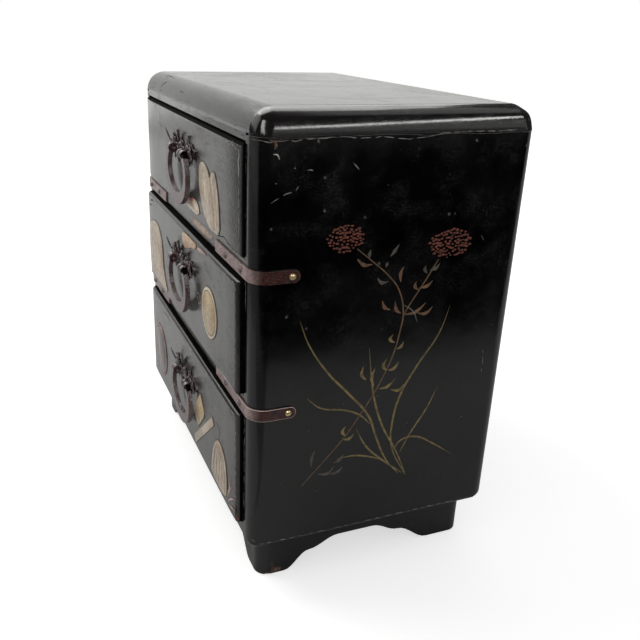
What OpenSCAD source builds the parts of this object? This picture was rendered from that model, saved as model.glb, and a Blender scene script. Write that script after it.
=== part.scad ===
// Small lacquered jewelry chest: three drawers with ring pulls in a rounded case on a scalloped plinth.
// Millimetres. X runs to the right as seen from the front, Y to the back, Z up.
// The origin is on the floor, at the middle of the whole outline in X and Y.

/* [Case] */
// Width of the case over its two sides
case_w = 222; // [206:1:280]
// Depth of the case from its front edges to its back
case_d = 140; // [110:1:200]
// Thickness of each side board
side_t = 12; // [9:0.5:14]
// Thickness of the top board
top_t = 14.5; // [10:0.5:20]
// How far the tops of the sides are let into the top board
side_lap = 2.5; // [0.5:0.5:5]
// Thickness of the bottom board
bottom_t = 8.5; // [6:0.5:14]
// Thickness of the back panel
back_t = 6; // [4:0.5:10]
// Height of the front rails between the drawers
rail_h = 9.5; // [8.5:0.1:16]
// Depth of the front rails, front to back
rail_d = 20; // [12:1:40]
// Width of the runners on the sides
runner_w = 10; // [7:1:16]
// Height of the runners
runner_h = 7; // [4:0.5:8]
// Rounding of the top board's long edges and ends
top_edge_r = 11; // [4:0.5:14]
// Rounding of the case's upright corners
corner_r = 8; // [3:0.5:9]
// Rounding along the case's lower edges
base_edge_r = 3; // [1:0.5:6]
// Rounding of the case's lower back edge
back_low_r = 7; // [2:0.5:9]

/* [Drawers] */
// Height of the upper drawer's front
upper_front_h = 49.5; // [46:0.5:60]
// Height of the middle drawer's front
middle_front_h = 56.6; // [50:0.1:66]
// Height of the lower drawer's front
lower_front_h = 62.4; // [52:0.1:72]
// Thickness of the drawer fronts
front_t = 13; // [9:0.5:18]
// Rounding of the drawer fronts' edges
front_edge_r = 2.5; // [1:0.25:4]
// How far a closed drawer front stands out of the case
front_proud = 2.4; // [0.5:0.1:5]
// How far the middle drawer stands open at rest
middle_open = 1.4; // [0:0.1:6]
// How far the lower drawer stands open at rest
lower_open = 1.1; // [0:0.1:6]
// Thickness of a drawer's sides and back
wall_t = 6; // [4:0.5:9]
// How far a drawer's walls stop below the top edge of its front
wall_drop = 5; // [2:0.5:10]
// Thickness of a drawer's floor board
floor_t = 3; // [2:0.5:5]
// Height of the floor board's underside above the walls' lower edges
floor_lift = 3; // [2:0.5:6]
// Depth of the grooves that hold the floor board
groove_d = 3; // [1.5:0.5:3.5]
// Thickness of the cloth pad on the floor
lining_t = 1.2; // [0.6:0.2:3]

/* [Clearances] */
// Gap above a drawer front
gap_above = 1.2; // [0.6:0.1:2.5]
// Gap at each side of a drawer
gap_beside = 0.8; // [0.4:0.1:2]
// Gap between a drawer and what carries it
run_clear = 0.3; // [0.2:0.05:0.8]
// Gap between a closed drawer and the back panel
stop_clear = 0.3; // [0.2:0.05:2]
// Gap round the cloth pad
lining_gap = 0.5; // [0.2:0.1:2]
// Radial gap between a bail's pin and its eye
pin_clear = 0.25; // [0.1:0.05:0.4]
// Side play between a bail's knuckle and its eye
knuckle_play = 0.3; // [0.2:0.05:0.8]

/* [Plinth] */
// Height of the plinth from the floor to the case
plinth_h = 26; // [20:0.5:40]
// Inset of the plinth from the case's sides
plinth_side_inset = 9; // [3:0.5:20]
// Inset of the plinth from the case's front
plinth_front_inset = 7.5; // [3:0.5:20]
// Inset of the plinth from the case's back
plinth_back_inset = 8; // [8:0.5:24]
// Thickness of the apron boards
apron_t = 8; // [5:0.5:12]
// Rounding of the plinth's upright corners
plinth_corner_r = 7; // [2:0.5:7.5]
// Flat length of a foot at the front corners
foot_flat = 15; // [10:0.5:22]
// Flat length of a foot at the back corners, along the sides
rear_foot_flat = 21.5; // [10:0.5:24]
// Height of the scallop's shoulder above the floor
shoulder_h = 10; // [6:0.5:12]
// Height of the scallop's middle above the floor
arch_h = 15.8; // [13:0.1:17]
// Length of the front scallop from the foot to its shoulder
shoulder_run = 14; // [8:1:18]
// Length of the front scallop from its shoulder to the flat middle
arch_run = 17; // [10:1:20]
// Length of the rear scallop from the foot to its shoulder
rear_shoulder_run = 20; // [10:1:22]
// Length of the rear scallop from its shoulder to the flat middle
rear_arch_run = 16; // [10:1:20]
// Width of each square glue block in the plinth's corners
block_w = 13; // [8:1:18]
// Height of the glue blocks' undersides above the floor
block_lift = 5; // [2:0.5:10]

/* [Straps] */
// Width of the sheet metal straps
strap_w = 5.9; // [4:0.1:6.2]
// Thickness of the straps
strap_t = 0.9; // [0.5:0.1:1.5]
// How far the straps' middles lie under the middles of their rails
strap_drop = 1.2; // [0:0.05:1.2]
// Reach of a strap along the front, from the case's side
strap_front_reach = 56; // [42:1:62]
// Reach of a strap along the side, from the case's front
strap_side_reach = 21.7; // [20:0.1:34]
// Distance of the outer front pin from the case's side
pin_outer = 15.5; // [9.5:0.5:18]
// Distance of the inner front pin from the case's side
pin_inner = 38.5; // [28:0.5:39]
// Distance of the side pin from the case's front
pin_side = 17.8; // [12:0.1:18]
// Radius of a pin's round head
pin_head_r = 1.6; // [1:0.1:2.2]
// Height of a pin's round head
pin_head_h = 1.1; // [0.6:0.1:1.6]
// Radius of a pin's shank
pin_shank_r = 0.7; // [0.4:0.05:0.9]
// Length of a pin's shank below its head
pin_shank_l = 7; // [4:0.5:8]

/* [Pulls] */
// Height of the upper pull's axis above the middle of its drawer front
upper_pull_rise = 6.5; // [4:0.5:9]
// Height of the middle pull's axis above the middle of its drawer front
middle_pull_rise = 7.85; // [2:0.05:10]
// Height of the lower pull's axis above the middle of its drawer front
lower_pull_rise = 6.85; // [0:0.05:12]
// Distance between the middles of a pull's two eyes
eye_spacing = 21; // [18:0.5:25]
// Distance of the bail's axis from the drawer front
pull_stand = 3.5; // [3.4:0.1:6]
// Outer radius of an eye
eye_r = 2.6; // [2:0.1:2.7]
// Thickness of an eye along the bail's axis
eye_t = 2.6; // [1.8:0.1:3.2]
// Radius of a post's shank
post_r = 1.5; // [1:0.1:1.8]
// Length of each leg that is clinched behind the drawer front
clinch_l = 6; // [3:0.5:8]
// Thickness of the clinched legs
clinch_t = 0.8; // [0.5:0.1:1.2]
// Thickness of the pierced plate behind the posts
plate_t = 0.7; // [0.4:0.1:0.8]
// Width of the bail over its outer edges
bail_w = 44; // [40:0.5:50]
// Drop of the bail from its axis to its lowest edge
bail_drop = 28.5; // [24:0.5:29]
// Thickness of the bail, front to back
bail_t = 2.6; // [1.8:0.1:3]
// Width of the bail's bar at its lowest point
bail_low_w = 6.5; // [4:0.1:7]
// Width of the bail's bar at its sides
bail_side_w = 4; // [3:0.1:4.4]
// Radius of the bail's round knuckles
knuckle_r = 2.2; // [1.9:0.1:2.5]
// Length of each knuckle along the bail's axis
knuckle_l = 3.2; // [2.4:0.1:4]
// Radius of the bail's pins
bail_pin_r = 0.9; // [0.6:0.05:1.1]
// How far each pin stands through its eye
bail_pin_tip = 1.5; // [0.5:0.1:3]

/* [Overlays] */
// Thickness of the carved pieces on the drawer fronts
overlay_t = 1.1; // [0.6:0.1:1.6]
// Radius of the round medallion
medallion_r = 13.8; // [9:0.2:15]
// Radius of the round mirror piece
mirror_r = 18; // [12:0.5:20]

/* [Hidden] */
$fn = 64;

UPPER = 0;
MIDDLE = 1;
LOWER = 2;
LEFT = -1;
RIGHT = 1;

LACQUER = "#17151a";
BARE_WOOD = "#8a6a48";
COPPER = "#5c2f26";
BRASS = "#b08d4a";
IRON_BROWN = "#40262a";
SHELL = "#c9b592";
CLOTH = "#5e1f24";

// Heights from the case's underside, worked up from the bottom board
lower_z = bottom_t + run_clear;
lower_rail_z = lower_z + lower_front_h + gap_above;
middle_z = lower_rail_z + rail_h + run_clear;
upper_rail_z = middle_z + middle_front_h + gap_above;
upper_z = upper_rail_z + rail_h + run_clear;
opening_top = upper_z + upper_front_h + gap_above;
case_h = opening_top + top_t;

inner_w = case_w - 2 * side_t;
front_y = -case_d / 2;
back_y = case_d / 2;
drawer_w = inner_w - 2 * gap_beside;
drawer_l = case_d - back_t + front_proud - stop_clear;
eye_bore_r = bail_pin_r + pin_clear;

front_z = [upper_z, middle_z, lower_z];
front_h = [upper_front_h, middle_front_h, lower_front_h];
rest_open = [0, middle_open, lower_open];
pull_z = [
    for (i = [UPPER, MIDDLE, LOWER])
        front_h[i] / 2 + [upper_pull_rise, middle_pull_rise, lower_pull_rise][i]
];

// The outline's reach in front of the case sets where its middle is
front_reach = front_proud + max(rest_open) + pull_stand + max(eye_r, knuckle_r, bail_t / 2);
case_mid_y = front_reach / 2;

plinth_half_w = case_w / 2 - plinth_side_inset;
plinth_front_y = front_y + plinth_front_inset;
plinth_back_y = back_y - plinth_back_inset;

// Puts a piece that is drawn in the case's own frame on top of the plinth
module in_case() {
    translate([0, case_mid_y, plinth_h]) children();
}

// Puts a piece that is drawn from a drawer front's lower edge into its place at rest
module in_drawer(i) {
    in_case() translate([0, front_y - front_proud - rest_open[i], front_z[i]]) children();
}

module box(low, high) {
    translate(low) cube(high - low);
}

// A flat outline with four rounded corners, from the lower left one counterclockwise
module rounded_outline(low, high, r) {
    polygon([
        [low.x + r[0], low.y], [high.x - r[1], low.y],
        [high.x, low.y + r[1]], [high.x, high.y - r[2]],
        [high.x - r[2], high.y], [low.x + r[3], high.y],
        [low.x, high.y - r[3]], [low.x, low.y + r[0]]
    ]);
    translate([low.x + r[0], low.y + r[0]]) circle(r[0]);
    translate([high.x - r[1], low.y + r[1]]) circle(r[1]);
    translate([high.x - r[2], high.y - r[2]]) circle(r[2]);
    translate([low.x + r[3], high.y - r[3]]) circle(r[3]);
}

// Stretches a Y-Z outline along X, evenly to both sides of the middle
module across(width) {
    translate([-width / 2, 0, 0]) rotate([90, 0, 90]) linear_extrude(width) children();
}

// Stretches an X-Z outline along Y, from the given near face to the far one
module depthwise(near, far) {
    translate([0, far, 0]) rotate([90, 0, 0]) linear_extrude(far - near) children();
}

// The outside of the whole case: three rounded outlines crossed, of which each board takes its share
module case_envelope() {
    intersection() {
        across(case_w)
            rounded_outline(
                [front_y, 0], [back_y, case_h],
                [base_edge_r, back_low_r, top_edge_r, top_edge_r]
            );
        depthwise(front_y, back_y)
            rounded_outline(
                [-case_w / 2, 0], [case_w / 2, case_h],
                [base_edge_r, base_edge_r, top_edge_r, top_edge_r]
            );
        linear_extrude(case_h)
            rounded_outline(
                [-case_w / 2, front_y], [case_w / 2, back_y],
                [corner_r, corner_r, corner_r, corner_r]
            );
    }
}

module case_top() {
    color(LACQUER) in_case() intersection() {
        case_envelope();
        union() {
            box([-inner_w / 2, front_y, opening_top], [inner_w / 2, back_y, case_h]);
            box([-case_w / 2, front_y, opening_top + side_lap], [case_w / 2, back_y, case_h]);
        }
    }
}

module case_side(side) {
    color(LACQUER) in_case() difference() {
        intersection() {
            case_envelope();
            mirror([side == LEFT ? 1 : 0, 0, 0])
                box([inner_w / 2, front_y, 0], [case_w / 2, back_y, opening_top + side_lap]);
        }
        pin_shanks();
    }
}

module case_bottom() {
    color(LACQUER) in_case() intersection() {
        case_envelope();
        box([-inner_w / 2, front_y, 0], [inner_w / 2, back_y, bottom_t]);
    }
}

module case_back() {
    color(LACQUER) in_case()
        box([-inner_w / 2, back_y - back_t, bottom_t], [inner_w / 2, back_y, opening_top]);
}

module rail(z) {
    color(LACQUER) in_case() difference() {
        box([-inner_w / 2, front_y, z], [inner_w / 2, front_y + rail_d, z + rail_h]);
        pin_shanks();
    }
}

// A runner's top is level with its rail's, so that the drawer slides on both
module runner(side, rail_z) {
    top = rail_z + rail_h;
    color(BARE_WOOD) in_case() mirror([side == LEFT ? 1 : 0, 0, 0])
        box([inner_w / 2 - runner_w, front_y + rail_d, top - runner_h], [inner_w / 2, back_y - back_t, top]);
}

// A smooth rise from one point to another, level at both ends
function rise(from, to, steps) = [
    for (i = [1:steps])
        let (t = i / steps)
        [from.x + (to.x - from.x) * t, from.y + (to.y - from.y) * (1 - cos(180 * t)) / 2]
];

// Half a scallop: a flat foot, a rise to the shoulder and a rise to the middle
function scallop(flat, to_shoulder, to_arch) = let (
    foot = [flat, 0],
    shoulder = [flat + to_shoulder, shoulder_h],
    arch = [flat + to_shoulder + to_arch, arch_h]
) concat([[0, 0], foot], rise(foot, shoulder, 7), rise(shoulder, arch, 7));

function reversed(points) = [for (i = [len(points) - 1:-1:0]) points[i]];

// An apron's outline from its first corner to its last one, standing on the floor
module apron_outline(length, first, last) {
    far_half = reversed([for (p = last) [length - p.x, p.y]]);
    polygon(concat(first, far_half, [[length, plinth_h], [0, plinth_h]]));
}

module plinth_plan() {
    linear_extrude(plinth_h)
        rounded_outline(
            [-plinth_half_w, plinth_front_y], [plinth_half_w, plinth_back_y],
            [plinth_corner_r, plinth_corner_r, plinth_corner_r, plinth_corner_r]
        );
}

// The front and back aprons run the full width of the plinth
module cross_apron(near) {
    half = scallop(foot_flat, shoulder_run, arch_run);
    color(LACQUER) translate([0, case_mid_y, 0]) intersection() {
        plinth_plan();
        depthwise(near, near + apron_t)
            translate([-plinth_half_w, 0]) apron_outline(2 * plinth_half_w, half, half);
    }
}

// The side aprons fill the space between the front and back ones
module side_apron(side) {
    front_half = scallop(foot_flat, shoulder_run, arch_run);
    rear_half = scallop(rear_foot_flat, rear_shoulder_run, rear_arch_run);
    color(LACQUER) translate([0, case_mid_y, 0]) mirror([side == LEFT ? 1 : 0, 0, 0]) intersection() {
        translate([plinth_half_w - apron_t / 2, 0, 0]) across(apron_t)
            translate([plinth_front_y, 0])
                apron_outline(plinth_back_y - plinth_front_y, front_half, rear_half);
        box(
            [plinth_half_w - apron_t, plinth_front_y + apron_t, 0],
            [plinth_half_w, plinth_back_y - apron_t, plinth_h]
        );
    }
}

module plinth_blocks() {
    color(BARE_WOOD) translate([0, case_mid_y, 0])
        for (side = [0, 1], y = [plinth_front_y + apron_t, plinth_back_y - apron_t - block_w])
            mirror([side, 0, 0]) translate([plinth_half_w - apron_t - block_w, y, block_lift])
                cube([block_w, block_w, plinth_h - block_lift]);
}

// Height of the middle of a strap, a little under the middle of its rail
function strap_z(rail_z) = rail_z + rail_h / 2 - strap_drop;

// A pin's axis, drawn along +Z out of the metal, is turned to the front or to the side
module at_front_pin(distance, rail_z) {
    translate([case_w / 2 - distance, front_y - strap_t, strap_z(rail_z)]) rotate([90, 0, 0]) children();
}

module at_side_pin(rail_z) {
    translate([case_w / 2 + strap_t, front_y + pin_side, strap_z(rail_z)]) rotate([0, 90, 0]) children();
}

module at_pins() {
    for (side = [0, 1], rail_z = [lower_rail_z, upper_rail_z])
        mirror([side, 0, 0]) {
            at_front_pin(pin_outer, rail_z) children();
            at_front_pin(pin_inner, rail_z) children();
            at_side_pin(rail_z) children();
        }
}

module pin_shank() {
    translate([0, 0, -pin_shank_l]) cylinder(r = pin_shank_r, h = pin_shank_l);
}

module pin_shanks() {
    at_pins() pin_shank();
}

// A low round cap on the plane Z = 0
module dome(r, h) {
    ball_r = (r * r + h * h) / (2 * h);
    intersection() {
        translate([0, 0, h - ball_r]) sphere(ball_r);
        cylinder(r = r, h = h);
    }
}

module strap_pins() {
    color(BRASS) in_case() at_pins() {
        pin_shank();
        dome(pin_head_r, pin_head_h);
    }
}

// The strap lies on the rail, bends round the case's upright corner and ends round on the side
module strap(side, rail_z) {
    low = strap_z(rail_z) - strap_w / 2;
    high = low + strap_w;
    color(COPPER) in_case() difference() {
        mirror([side == LEFT ? 1 : 0, 0, 0]) union() {
            box(
                [case_w / 2 - strap_front_reach, front_y - strap_t, low],
                [case_w / 2 - corner_r, front_y, high]
            );
            translate([case_w / 2 - corner_r, front_y + corner_r, low]) rotate([0, 0, -90])
                rotate_extrude(angle = 90) translate([corner_r, 0]) square([strap_t, strap_w]);
            box(
                [case_w / 2, front_y + corner_r, low],
                [case_w / 2 + strap_t, front_y + strap_side_reach - strap_w / 2, high]
            );
            translate([case_w / 2, front_y + strap_side_reach - strap_w / 2, strap_z(rail_z)])
                rotate([0, 90, 0]) cylinder(d = strap_w, h = strap_t);
        }
        pin_shanks();
    }
}

// A drawer front's block, rounded along the four edges of its face
module front_block(i) {
    h = front_h[i];
    r = front_edge_r;
    deep = front_t + 2 * r;
    intersection() {
        box([-drawer_w / 2, 0, 0], [drawer_w / 2, front_t, h]);
        across(drawer_w) rounded_outline([0, 0], [deep, h], [r, r, r, r]);
        linear_extrude(h) rounded_outline([-drawer_w / 2, 0], [drawer_w / 2, deep], [r, r, r, r]);
    }
}

// The floor board, which also cuts the grooves that hold it
module floor_board() {
    x = drawer_w / 2 - wall_t + groove_d;
    box([-x, front_t - groove_d, floor_lift], [x, drawer_l, floor_lift + floor_t]);
}

module at_posts(i) {
    for (x = [-eye_spacing / 2, eye_spacing / 2])
        translate([x, 0, pull_z[i]]) children();
}

module drawer_front(i) {
    color(LACQUER) in_drawer(i) difference() {
        front_block(i);
        floor_board();
        at_posts(i) rotate([-90, 0, 0]) cylinder(r = post_r, h = front_t);
    }
}

module drawer_side(i, side) {
    color(BARE_WOOD) in_drawer(i) difference() {
        mirror([side == LEFT ? 1 : 0, 0, 0])
            box([drawer_w / 2 - wall_t, front_t, 0], [drawer_w / 2, drawer_l, front_h[i] - wall_drop]);
        floor_board();
    }
}

// The back stands on the floor board, between the sides
module drawer_back(i) {
    x = drawer_w / 2 - wall_t;
    color(BARE_WOOD) in_drawer(i)
        box([-x, drawer_l - wall_t, floor_lift + floor_t], [x, drawer_l, front_h[i] - wall_drop]);
}

module drawer_floor(i) {
    color(BARE_WOOD) in_drawer(i) floor_board();
}

module drawer_lining(i) {
    x = drawer_w / 2 - wall_t - lining_gap;
    z = floor_lift + floor_t;
    color(CLOTH) in_drawer(i)
        box([-x, front_t + lining_gap, z], [x, drawer_l - wall_t - lining_gap, z + lining_t]);
}

// One half of the plate's leafy edge, from its top middle to its bottom middle
PLATE_EDGE = [
    [0, 3], [4, 4.5], [7, 3.5], [9.5, 6], [12, 9.5], [13.5, 5.5], [17, 4.5], [20, 6.5], [22, 4], [27, 3.5],
    [23, 0.5], [19, -1], [17, -3.5], [13, -2.8], [12.5, -6.5], [9.5, -7.5], [8, -4], [4, -3], [0, -4.5]
];

module pull_plate(i) {
    color(IRON_BROWN) in_drawer(i) difference() {
        translate([0, 0, pull_z[i]]) depthwise(-plate_t, 0)
            polygon(concat(PLATE_EDGE, reversed([for (p = PLATE_EDGE) if (p.x > 0) [-p.x, p.y]])));
        at_posts(i) translate([0, -plate_t, 0]) rotate([-90, 0, 0]) cylinder(r = post_r, h = plate_t);
    }
}

// An eye on a shank that goes through the drawer front, its legs clinched flat behind it
module eye_post() {
    root_y = eye_bore_r - pull_stand;
    difference() {
        union() {
            translate([0, -pull_stand, 0]) rotate([0, 90, 0])
                cylinder(r = eye_r, h = eye_t, center = true);
            translate([0, root_y, 0]) rotate([-90, 0, 0]) cylinder(r = post_r, h = front_t - root_y);
            box([-post_r, front_t, -clinch_l], [post_r, front_t + clinch_t, clinch_l]);
        }
        translate([0, -pull_stand, 0]) rotate([0, 90, 0])
            cylinder(r = eye_bore_r, h = 2 * eye_t, center = true);
    }
}

module pull_posts(i) {
    color(IRON_BROWN) in_drawer(i) at_posts(i) eye_post();
}

// The bail's middle line is an ellipse that runs from one knuckle round the bottom to the other
knuckle_x = eye_spacing / 2 + eye_t / 2 + knuckle_play + knuckle_l / 2;
bail_a = bail_w / 2 - bail_side_w / 2;
bail_end = 180 - asin(knuckle_x / bail_a);
bail_b = (bail_drop - bail_low_w / 2) / (1 - cos(bail_end));

function bail_middle(t) = [bail_a * sin(t), bail_b * (cos(bail_end) - cos(t))];

function bail_normal(t) = let (n = [bail_b * sin(t), -bail_a * cos(t)]) n / norm(n);

// Half the bar's width: full at the bottom, slimmer up the sides
function bail_half(t) = bail_side_w / 2 + (bail_low_w - bail_side_w) / 2 * pow(cos(t / 2), 4);

module bail_outline() {
    steps = 20;
    turns = [for (i = [-steps:steps]) bail_end * i / steps];
    outer = [for (t = turns) bail_middle(t) + bail_half(t) * bail_normal(t)];
    inner = [for (t = turns) bail_middle(t) - bail_half(t) * bail_normal(t)];
    polygon(concat(outer, reversed(inner)));
}

module pull_bail(i) {
    inner_x = eye_spacing / 2 - eye_t / 2 - bail_pin_tip;
    color(IRON_BROWN) in_drawer(i) translate([0, -pull_stand, pull_z[i]]) {
        depthwise(-bail_t / 2, bail_t / 2) bail_outline();
        for (side = [0, 1])
            mirror([side, 0, 0]) {
                translate([knuckle_x - knuckle_l / 2, 0, 0]) rotate([0, 90, 0])
                    cylinder(r = knuckle_r, h = knuckle_l);
                translate([inner_x, 0, 0]) rotate([0, 90, 0])
                    cylinder(r = bail_pin_r, h = knuckle_x - inner_x);
            }
    }
}

// Outlines of the carved pieces: X from the front's middle, Z from its lower edge
FOLDED_FAN = [
    [31, 28], [34, 31.5], [43, 31], [50, 29.5], [55, 32],
    [62, 30.5], [67, 16], [69, 4.5], [54, 3], [38, 4]
];
LOW_SLEEVE = [[-3, 2.6], [3, 6], [9, 9.5], [19, 10], [27, 8], [32, 2.6]];
ROBE = [
    [-92, 37], [-82, 41.5], [-70, 43.5], [-60, 39.5], [-56, 25],
    [-61, 13], [-68, 6], [-82, 3], [-92, 5], [-94, 22]
];
BELL_POUCH = [[52, 3.5], [55, 12], [58, 22], [63, 28], [68, 31.5], [75, 28.5], [81, 22], [84, 3.5]];
SLIM_LEAF = [[85, 5], [86, 11], [93, 19.5], [91, 9]];

// The cloud's Z is taken from the front's upper edge instead
CLOUD = [[-3, -9.5], [-1, -4.5], [7, -2.7], [32, -2.7], [27, -4.5], [20, -6.5], [11, -8.5], [3, -10]];

BOOK_SIZE = [25, 11.3];
BOOK_PLACE = [29.6, 29];
BOOK_TURN = 48.4;
SCROLL_SIZE = [54, 5];
SCROLL_PLACE = [38, 20.7];
SCROLL_TURN = 39.7;
MEDALLION_PLACE = [52.6, 24.8];
FLOWER_PLACE = [32, 24.8];
FLOWER_R = 3.2;
MIRROR_PLACE = [-73, 23.6];

module turned_bar(size, place, turn) {
    translate(place) rotate(turn) square(size, center = true);
}

module upper_drawer_overlays() {
    color(SHELL) in_drawer(UPPER) depthwise(-overlay_t, 0) {
        polygon(FOLDED_FAN);
        polygon(LOW_SLEEVE);
    }
}

module middle_drawer_overlays() {
    color(SHELL) in_drawer(MIDDLE) depthwise(-overlay_t, 0) {
        polygon(ROBE);
        translate([0, middle_front_h]) polygon(CLOUD);
        translate(MEDALLION_PLACE) circle(medallion_r);
        translate(FLOWER_PLACE) circle(FLOWER_R);
    }
}

module lower_drawer_overlays() {
    color(SHELL) in_drawer(LOWER) depthwise(-overlay_t, 0) {
        turned_bar(BOOK_SIZE, BOOK_PLACE, BOOK_TURN);
        turned_bar(SCROLL_SIZE, SCROLL_PLACE, SCROLL_TURN);
        polygon(BELL_POUCH);
        polygon(SLIM_LEAF);
        translate(MIRROR_PLACE) circle(mirror_r);
    }
}

case_top();
case_side(LEFT);  // case_side_left
case_side(RIGHT);  // case_side_right
case_bottom();
case_back();
rail(upper_rail_z);  // rail_upper
rail(lower_rail_z);  // rail_lower
runner(LEFT, upper_rail_z);  // runner_upper_left
runner(RIGHT, upper_rail_z);  // runner_upper_right
runner(LEFT, lower_rail_z);  // runner_lower_left
runner(RIGHT, lower_rail_z);  // runner_lower_right
cross_apron(plinth_front_y);  // plinth_front
cross_apron(plinth_back_y - apron_t);  // plinth_back
side_apron(LEFT);  // plinth_left
side_apron(RIGHT);  // plinth_right
plinth_blocks();
strap(LEFT, upper_rail_z);  // strap_upper_left
strap(RIGHT, upper_rail_z);  // strap_upper_right
strap(LEFT, lower_rail_z);  // strap_lower_left
strap(RIGHT, lower_rail_z);  // strap_lower_right
strap_pins();
drawer_front(UPPER);  // upper_drawer_front
drawer_side(UPPER, LEFT);  // upper_drawer_side_left
drawer_side(UPPER, RIGHT);  // upper_drawer_side_right
drawer_back(UPPER);  // upper_drawer_back
drawer_floor(UPPER);  // upper_drawer_floor
drawer_lining(UPPER);  // upper_drawer_lining
upper_drawer_overlays();
pull_plate(UPPER);  // upper_pull_plate
pull_posts(UPPER);  // upper_pull_posts
pull_bail(UPPER);  // upper_pull_bail
drawer_front(MIDDLE);  // middle_drawer_front
drawer_side(MIDDLE, LEFT);  // middle_drawer_side_left
drawer_side(MIDDLE, RIGHT);  // middle_drawer_side_right
drawer_back(MIDDLE);  // middle_drawer_back
drawer_floor(MIDDLE);  // middle_drawer_floor
drawer_lining(MIDDLE);  // middle_drawer_lining
middle_drawer_overlays();
pull_plate(MIDDLE);  // middle_pull_plate
pull_posts(MIDDLE);  // middle_pull_posts
pull_bail(MIDDLE);  // middle_pull_bail
drawer_front(LOWER);  // lower_drawer_front
drawer_side(LOWER, LEFT);  // lower_drawer_side_left
drawer_side(LOWER, RIGHT);  // lower_drawer_side_right
drawer_back(LOWER);  // lower_drawer_back
drawer_floor(LOWER);  // lower_drawer_floor
drawer_lining(LOWER);  // lower_drawer_lining
lower_drawer_overlays();
pull_plate(LOWER);  // lower_pull_plate
pull_posts(LOWER);  // lower_pull_posts
pull_bail(LOWER);  // lower_pull_bail
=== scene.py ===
"""Looks of a small worn black lacquer jewelry chest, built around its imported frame.

Sizes in the classes are millimetres in the chest's own frame: X to the right as seen from the
front, Y to the back and Z up, from the floor under the middle of the whole outline.
"""

import logging
import math
import random
from collections.abc import Callable, Iterable, Sequence
from dataclasses import dataclass
from enum import Enum, IntEnum

import bmesh
import bpy
from bmesh.types import BMEdge, BMFace, BMVert
from mathutils import Matrix, Vector, noise


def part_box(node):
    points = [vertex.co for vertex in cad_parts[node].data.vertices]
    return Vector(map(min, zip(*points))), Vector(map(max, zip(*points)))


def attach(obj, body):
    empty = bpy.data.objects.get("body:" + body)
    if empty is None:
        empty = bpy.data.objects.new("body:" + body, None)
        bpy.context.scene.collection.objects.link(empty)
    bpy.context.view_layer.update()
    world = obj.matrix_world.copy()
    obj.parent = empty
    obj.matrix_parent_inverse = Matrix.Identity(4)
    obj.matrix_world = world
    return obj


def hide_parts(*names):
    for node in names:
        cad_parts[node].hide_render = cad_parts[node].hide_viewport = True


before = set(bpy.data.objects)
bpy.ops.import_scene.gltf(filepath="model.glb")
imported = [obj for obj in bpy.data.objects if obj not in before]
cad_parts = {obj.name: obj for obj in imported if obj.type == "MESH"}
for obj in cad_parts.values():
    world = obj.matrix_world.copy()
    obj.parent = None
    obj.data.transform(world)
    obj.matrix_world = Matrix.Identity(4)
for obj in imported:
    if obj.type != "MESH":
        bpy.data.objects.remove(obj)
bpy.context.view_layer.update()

LOG = logging.getLogger("chest")
MM = 0.001
FAR = 400.0
Flat = tuple[float, float]
Point = tuple[float, float, float]
Colour = tuple[float, float, float]
Line = tuple[Flat, ...]
Blobs = tuple[tuple[Point, Point], ...]
Node = bpy.types.Node
Socket = bpy.types.NodeSocket
Sockets = dict[str, Socket]
Feeds = dict[str, object]


class Side(Enum):
    """The chest's two sides, by the sign of X."""

    LEFT = -1
    RIGHT = 1


class Level(Enum):
    """The three drawers: name, lower edge, height of the front, its face's Y and the pull's height."""

    UPPER = ("upper", 175.8, 49.5, -67.45, 31.25)
    MIDDLE = ("middle", 108.2, 56.6, -68.85, 36.15)
    LOWER = ("lower", 34.8, 62.4, -68.55, 38.05)

    def __init__(self, word: str, low: float, height: float, face: float, pull: float) -> None:
        """Keeps the drawer's own numbers.

        Args:
            word: the drawer's name.
            low: the Z of its front's lower edge.
            height: the height of its front.
            face: the Y of its front's face.
            pull: the pull's height over the lower edge.
        """
        self.word = word
        self.low = low
        self.height = height
        self.face = face
        self.pull = pull

    @property
    def drawer(self) -> str:
        """The name of the body that slides."""
        return f"{self.word}_drawer"

    @property
    def ring(self) -> str:
        """The name of the body that swings."""
        return f"{self.word}_pull"


class Plane(Enum):
    """A face of the chest that is painted or marked: the directions across, up and out of it."""

    RIGHT = ((0, 1, 0), (0, 0, 1), (1, 0, 0))
    FRONT = ((1, 0, 0), (0, 0, 1), (0, -1, 0))
    TOP = ((1, 0, 0), (0, 1, 0), (0, 0, 1))

    def placed(self, origin: Point) -> Matrix:
        """Gives the matrix that takes a flat drawing to this face.

        Args:
            origin: where the drawing's zero lies, in millimetres.

        Returns:
            The matrix, for points in millimetres.
        """
        across, up, out = (Vector(v) for v in self.value)
        turned = Matrix((across, up, out)).transposed().to_4x4()
        return Matrix.Translation(origin) @ turned


# Shader graphs


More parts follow.
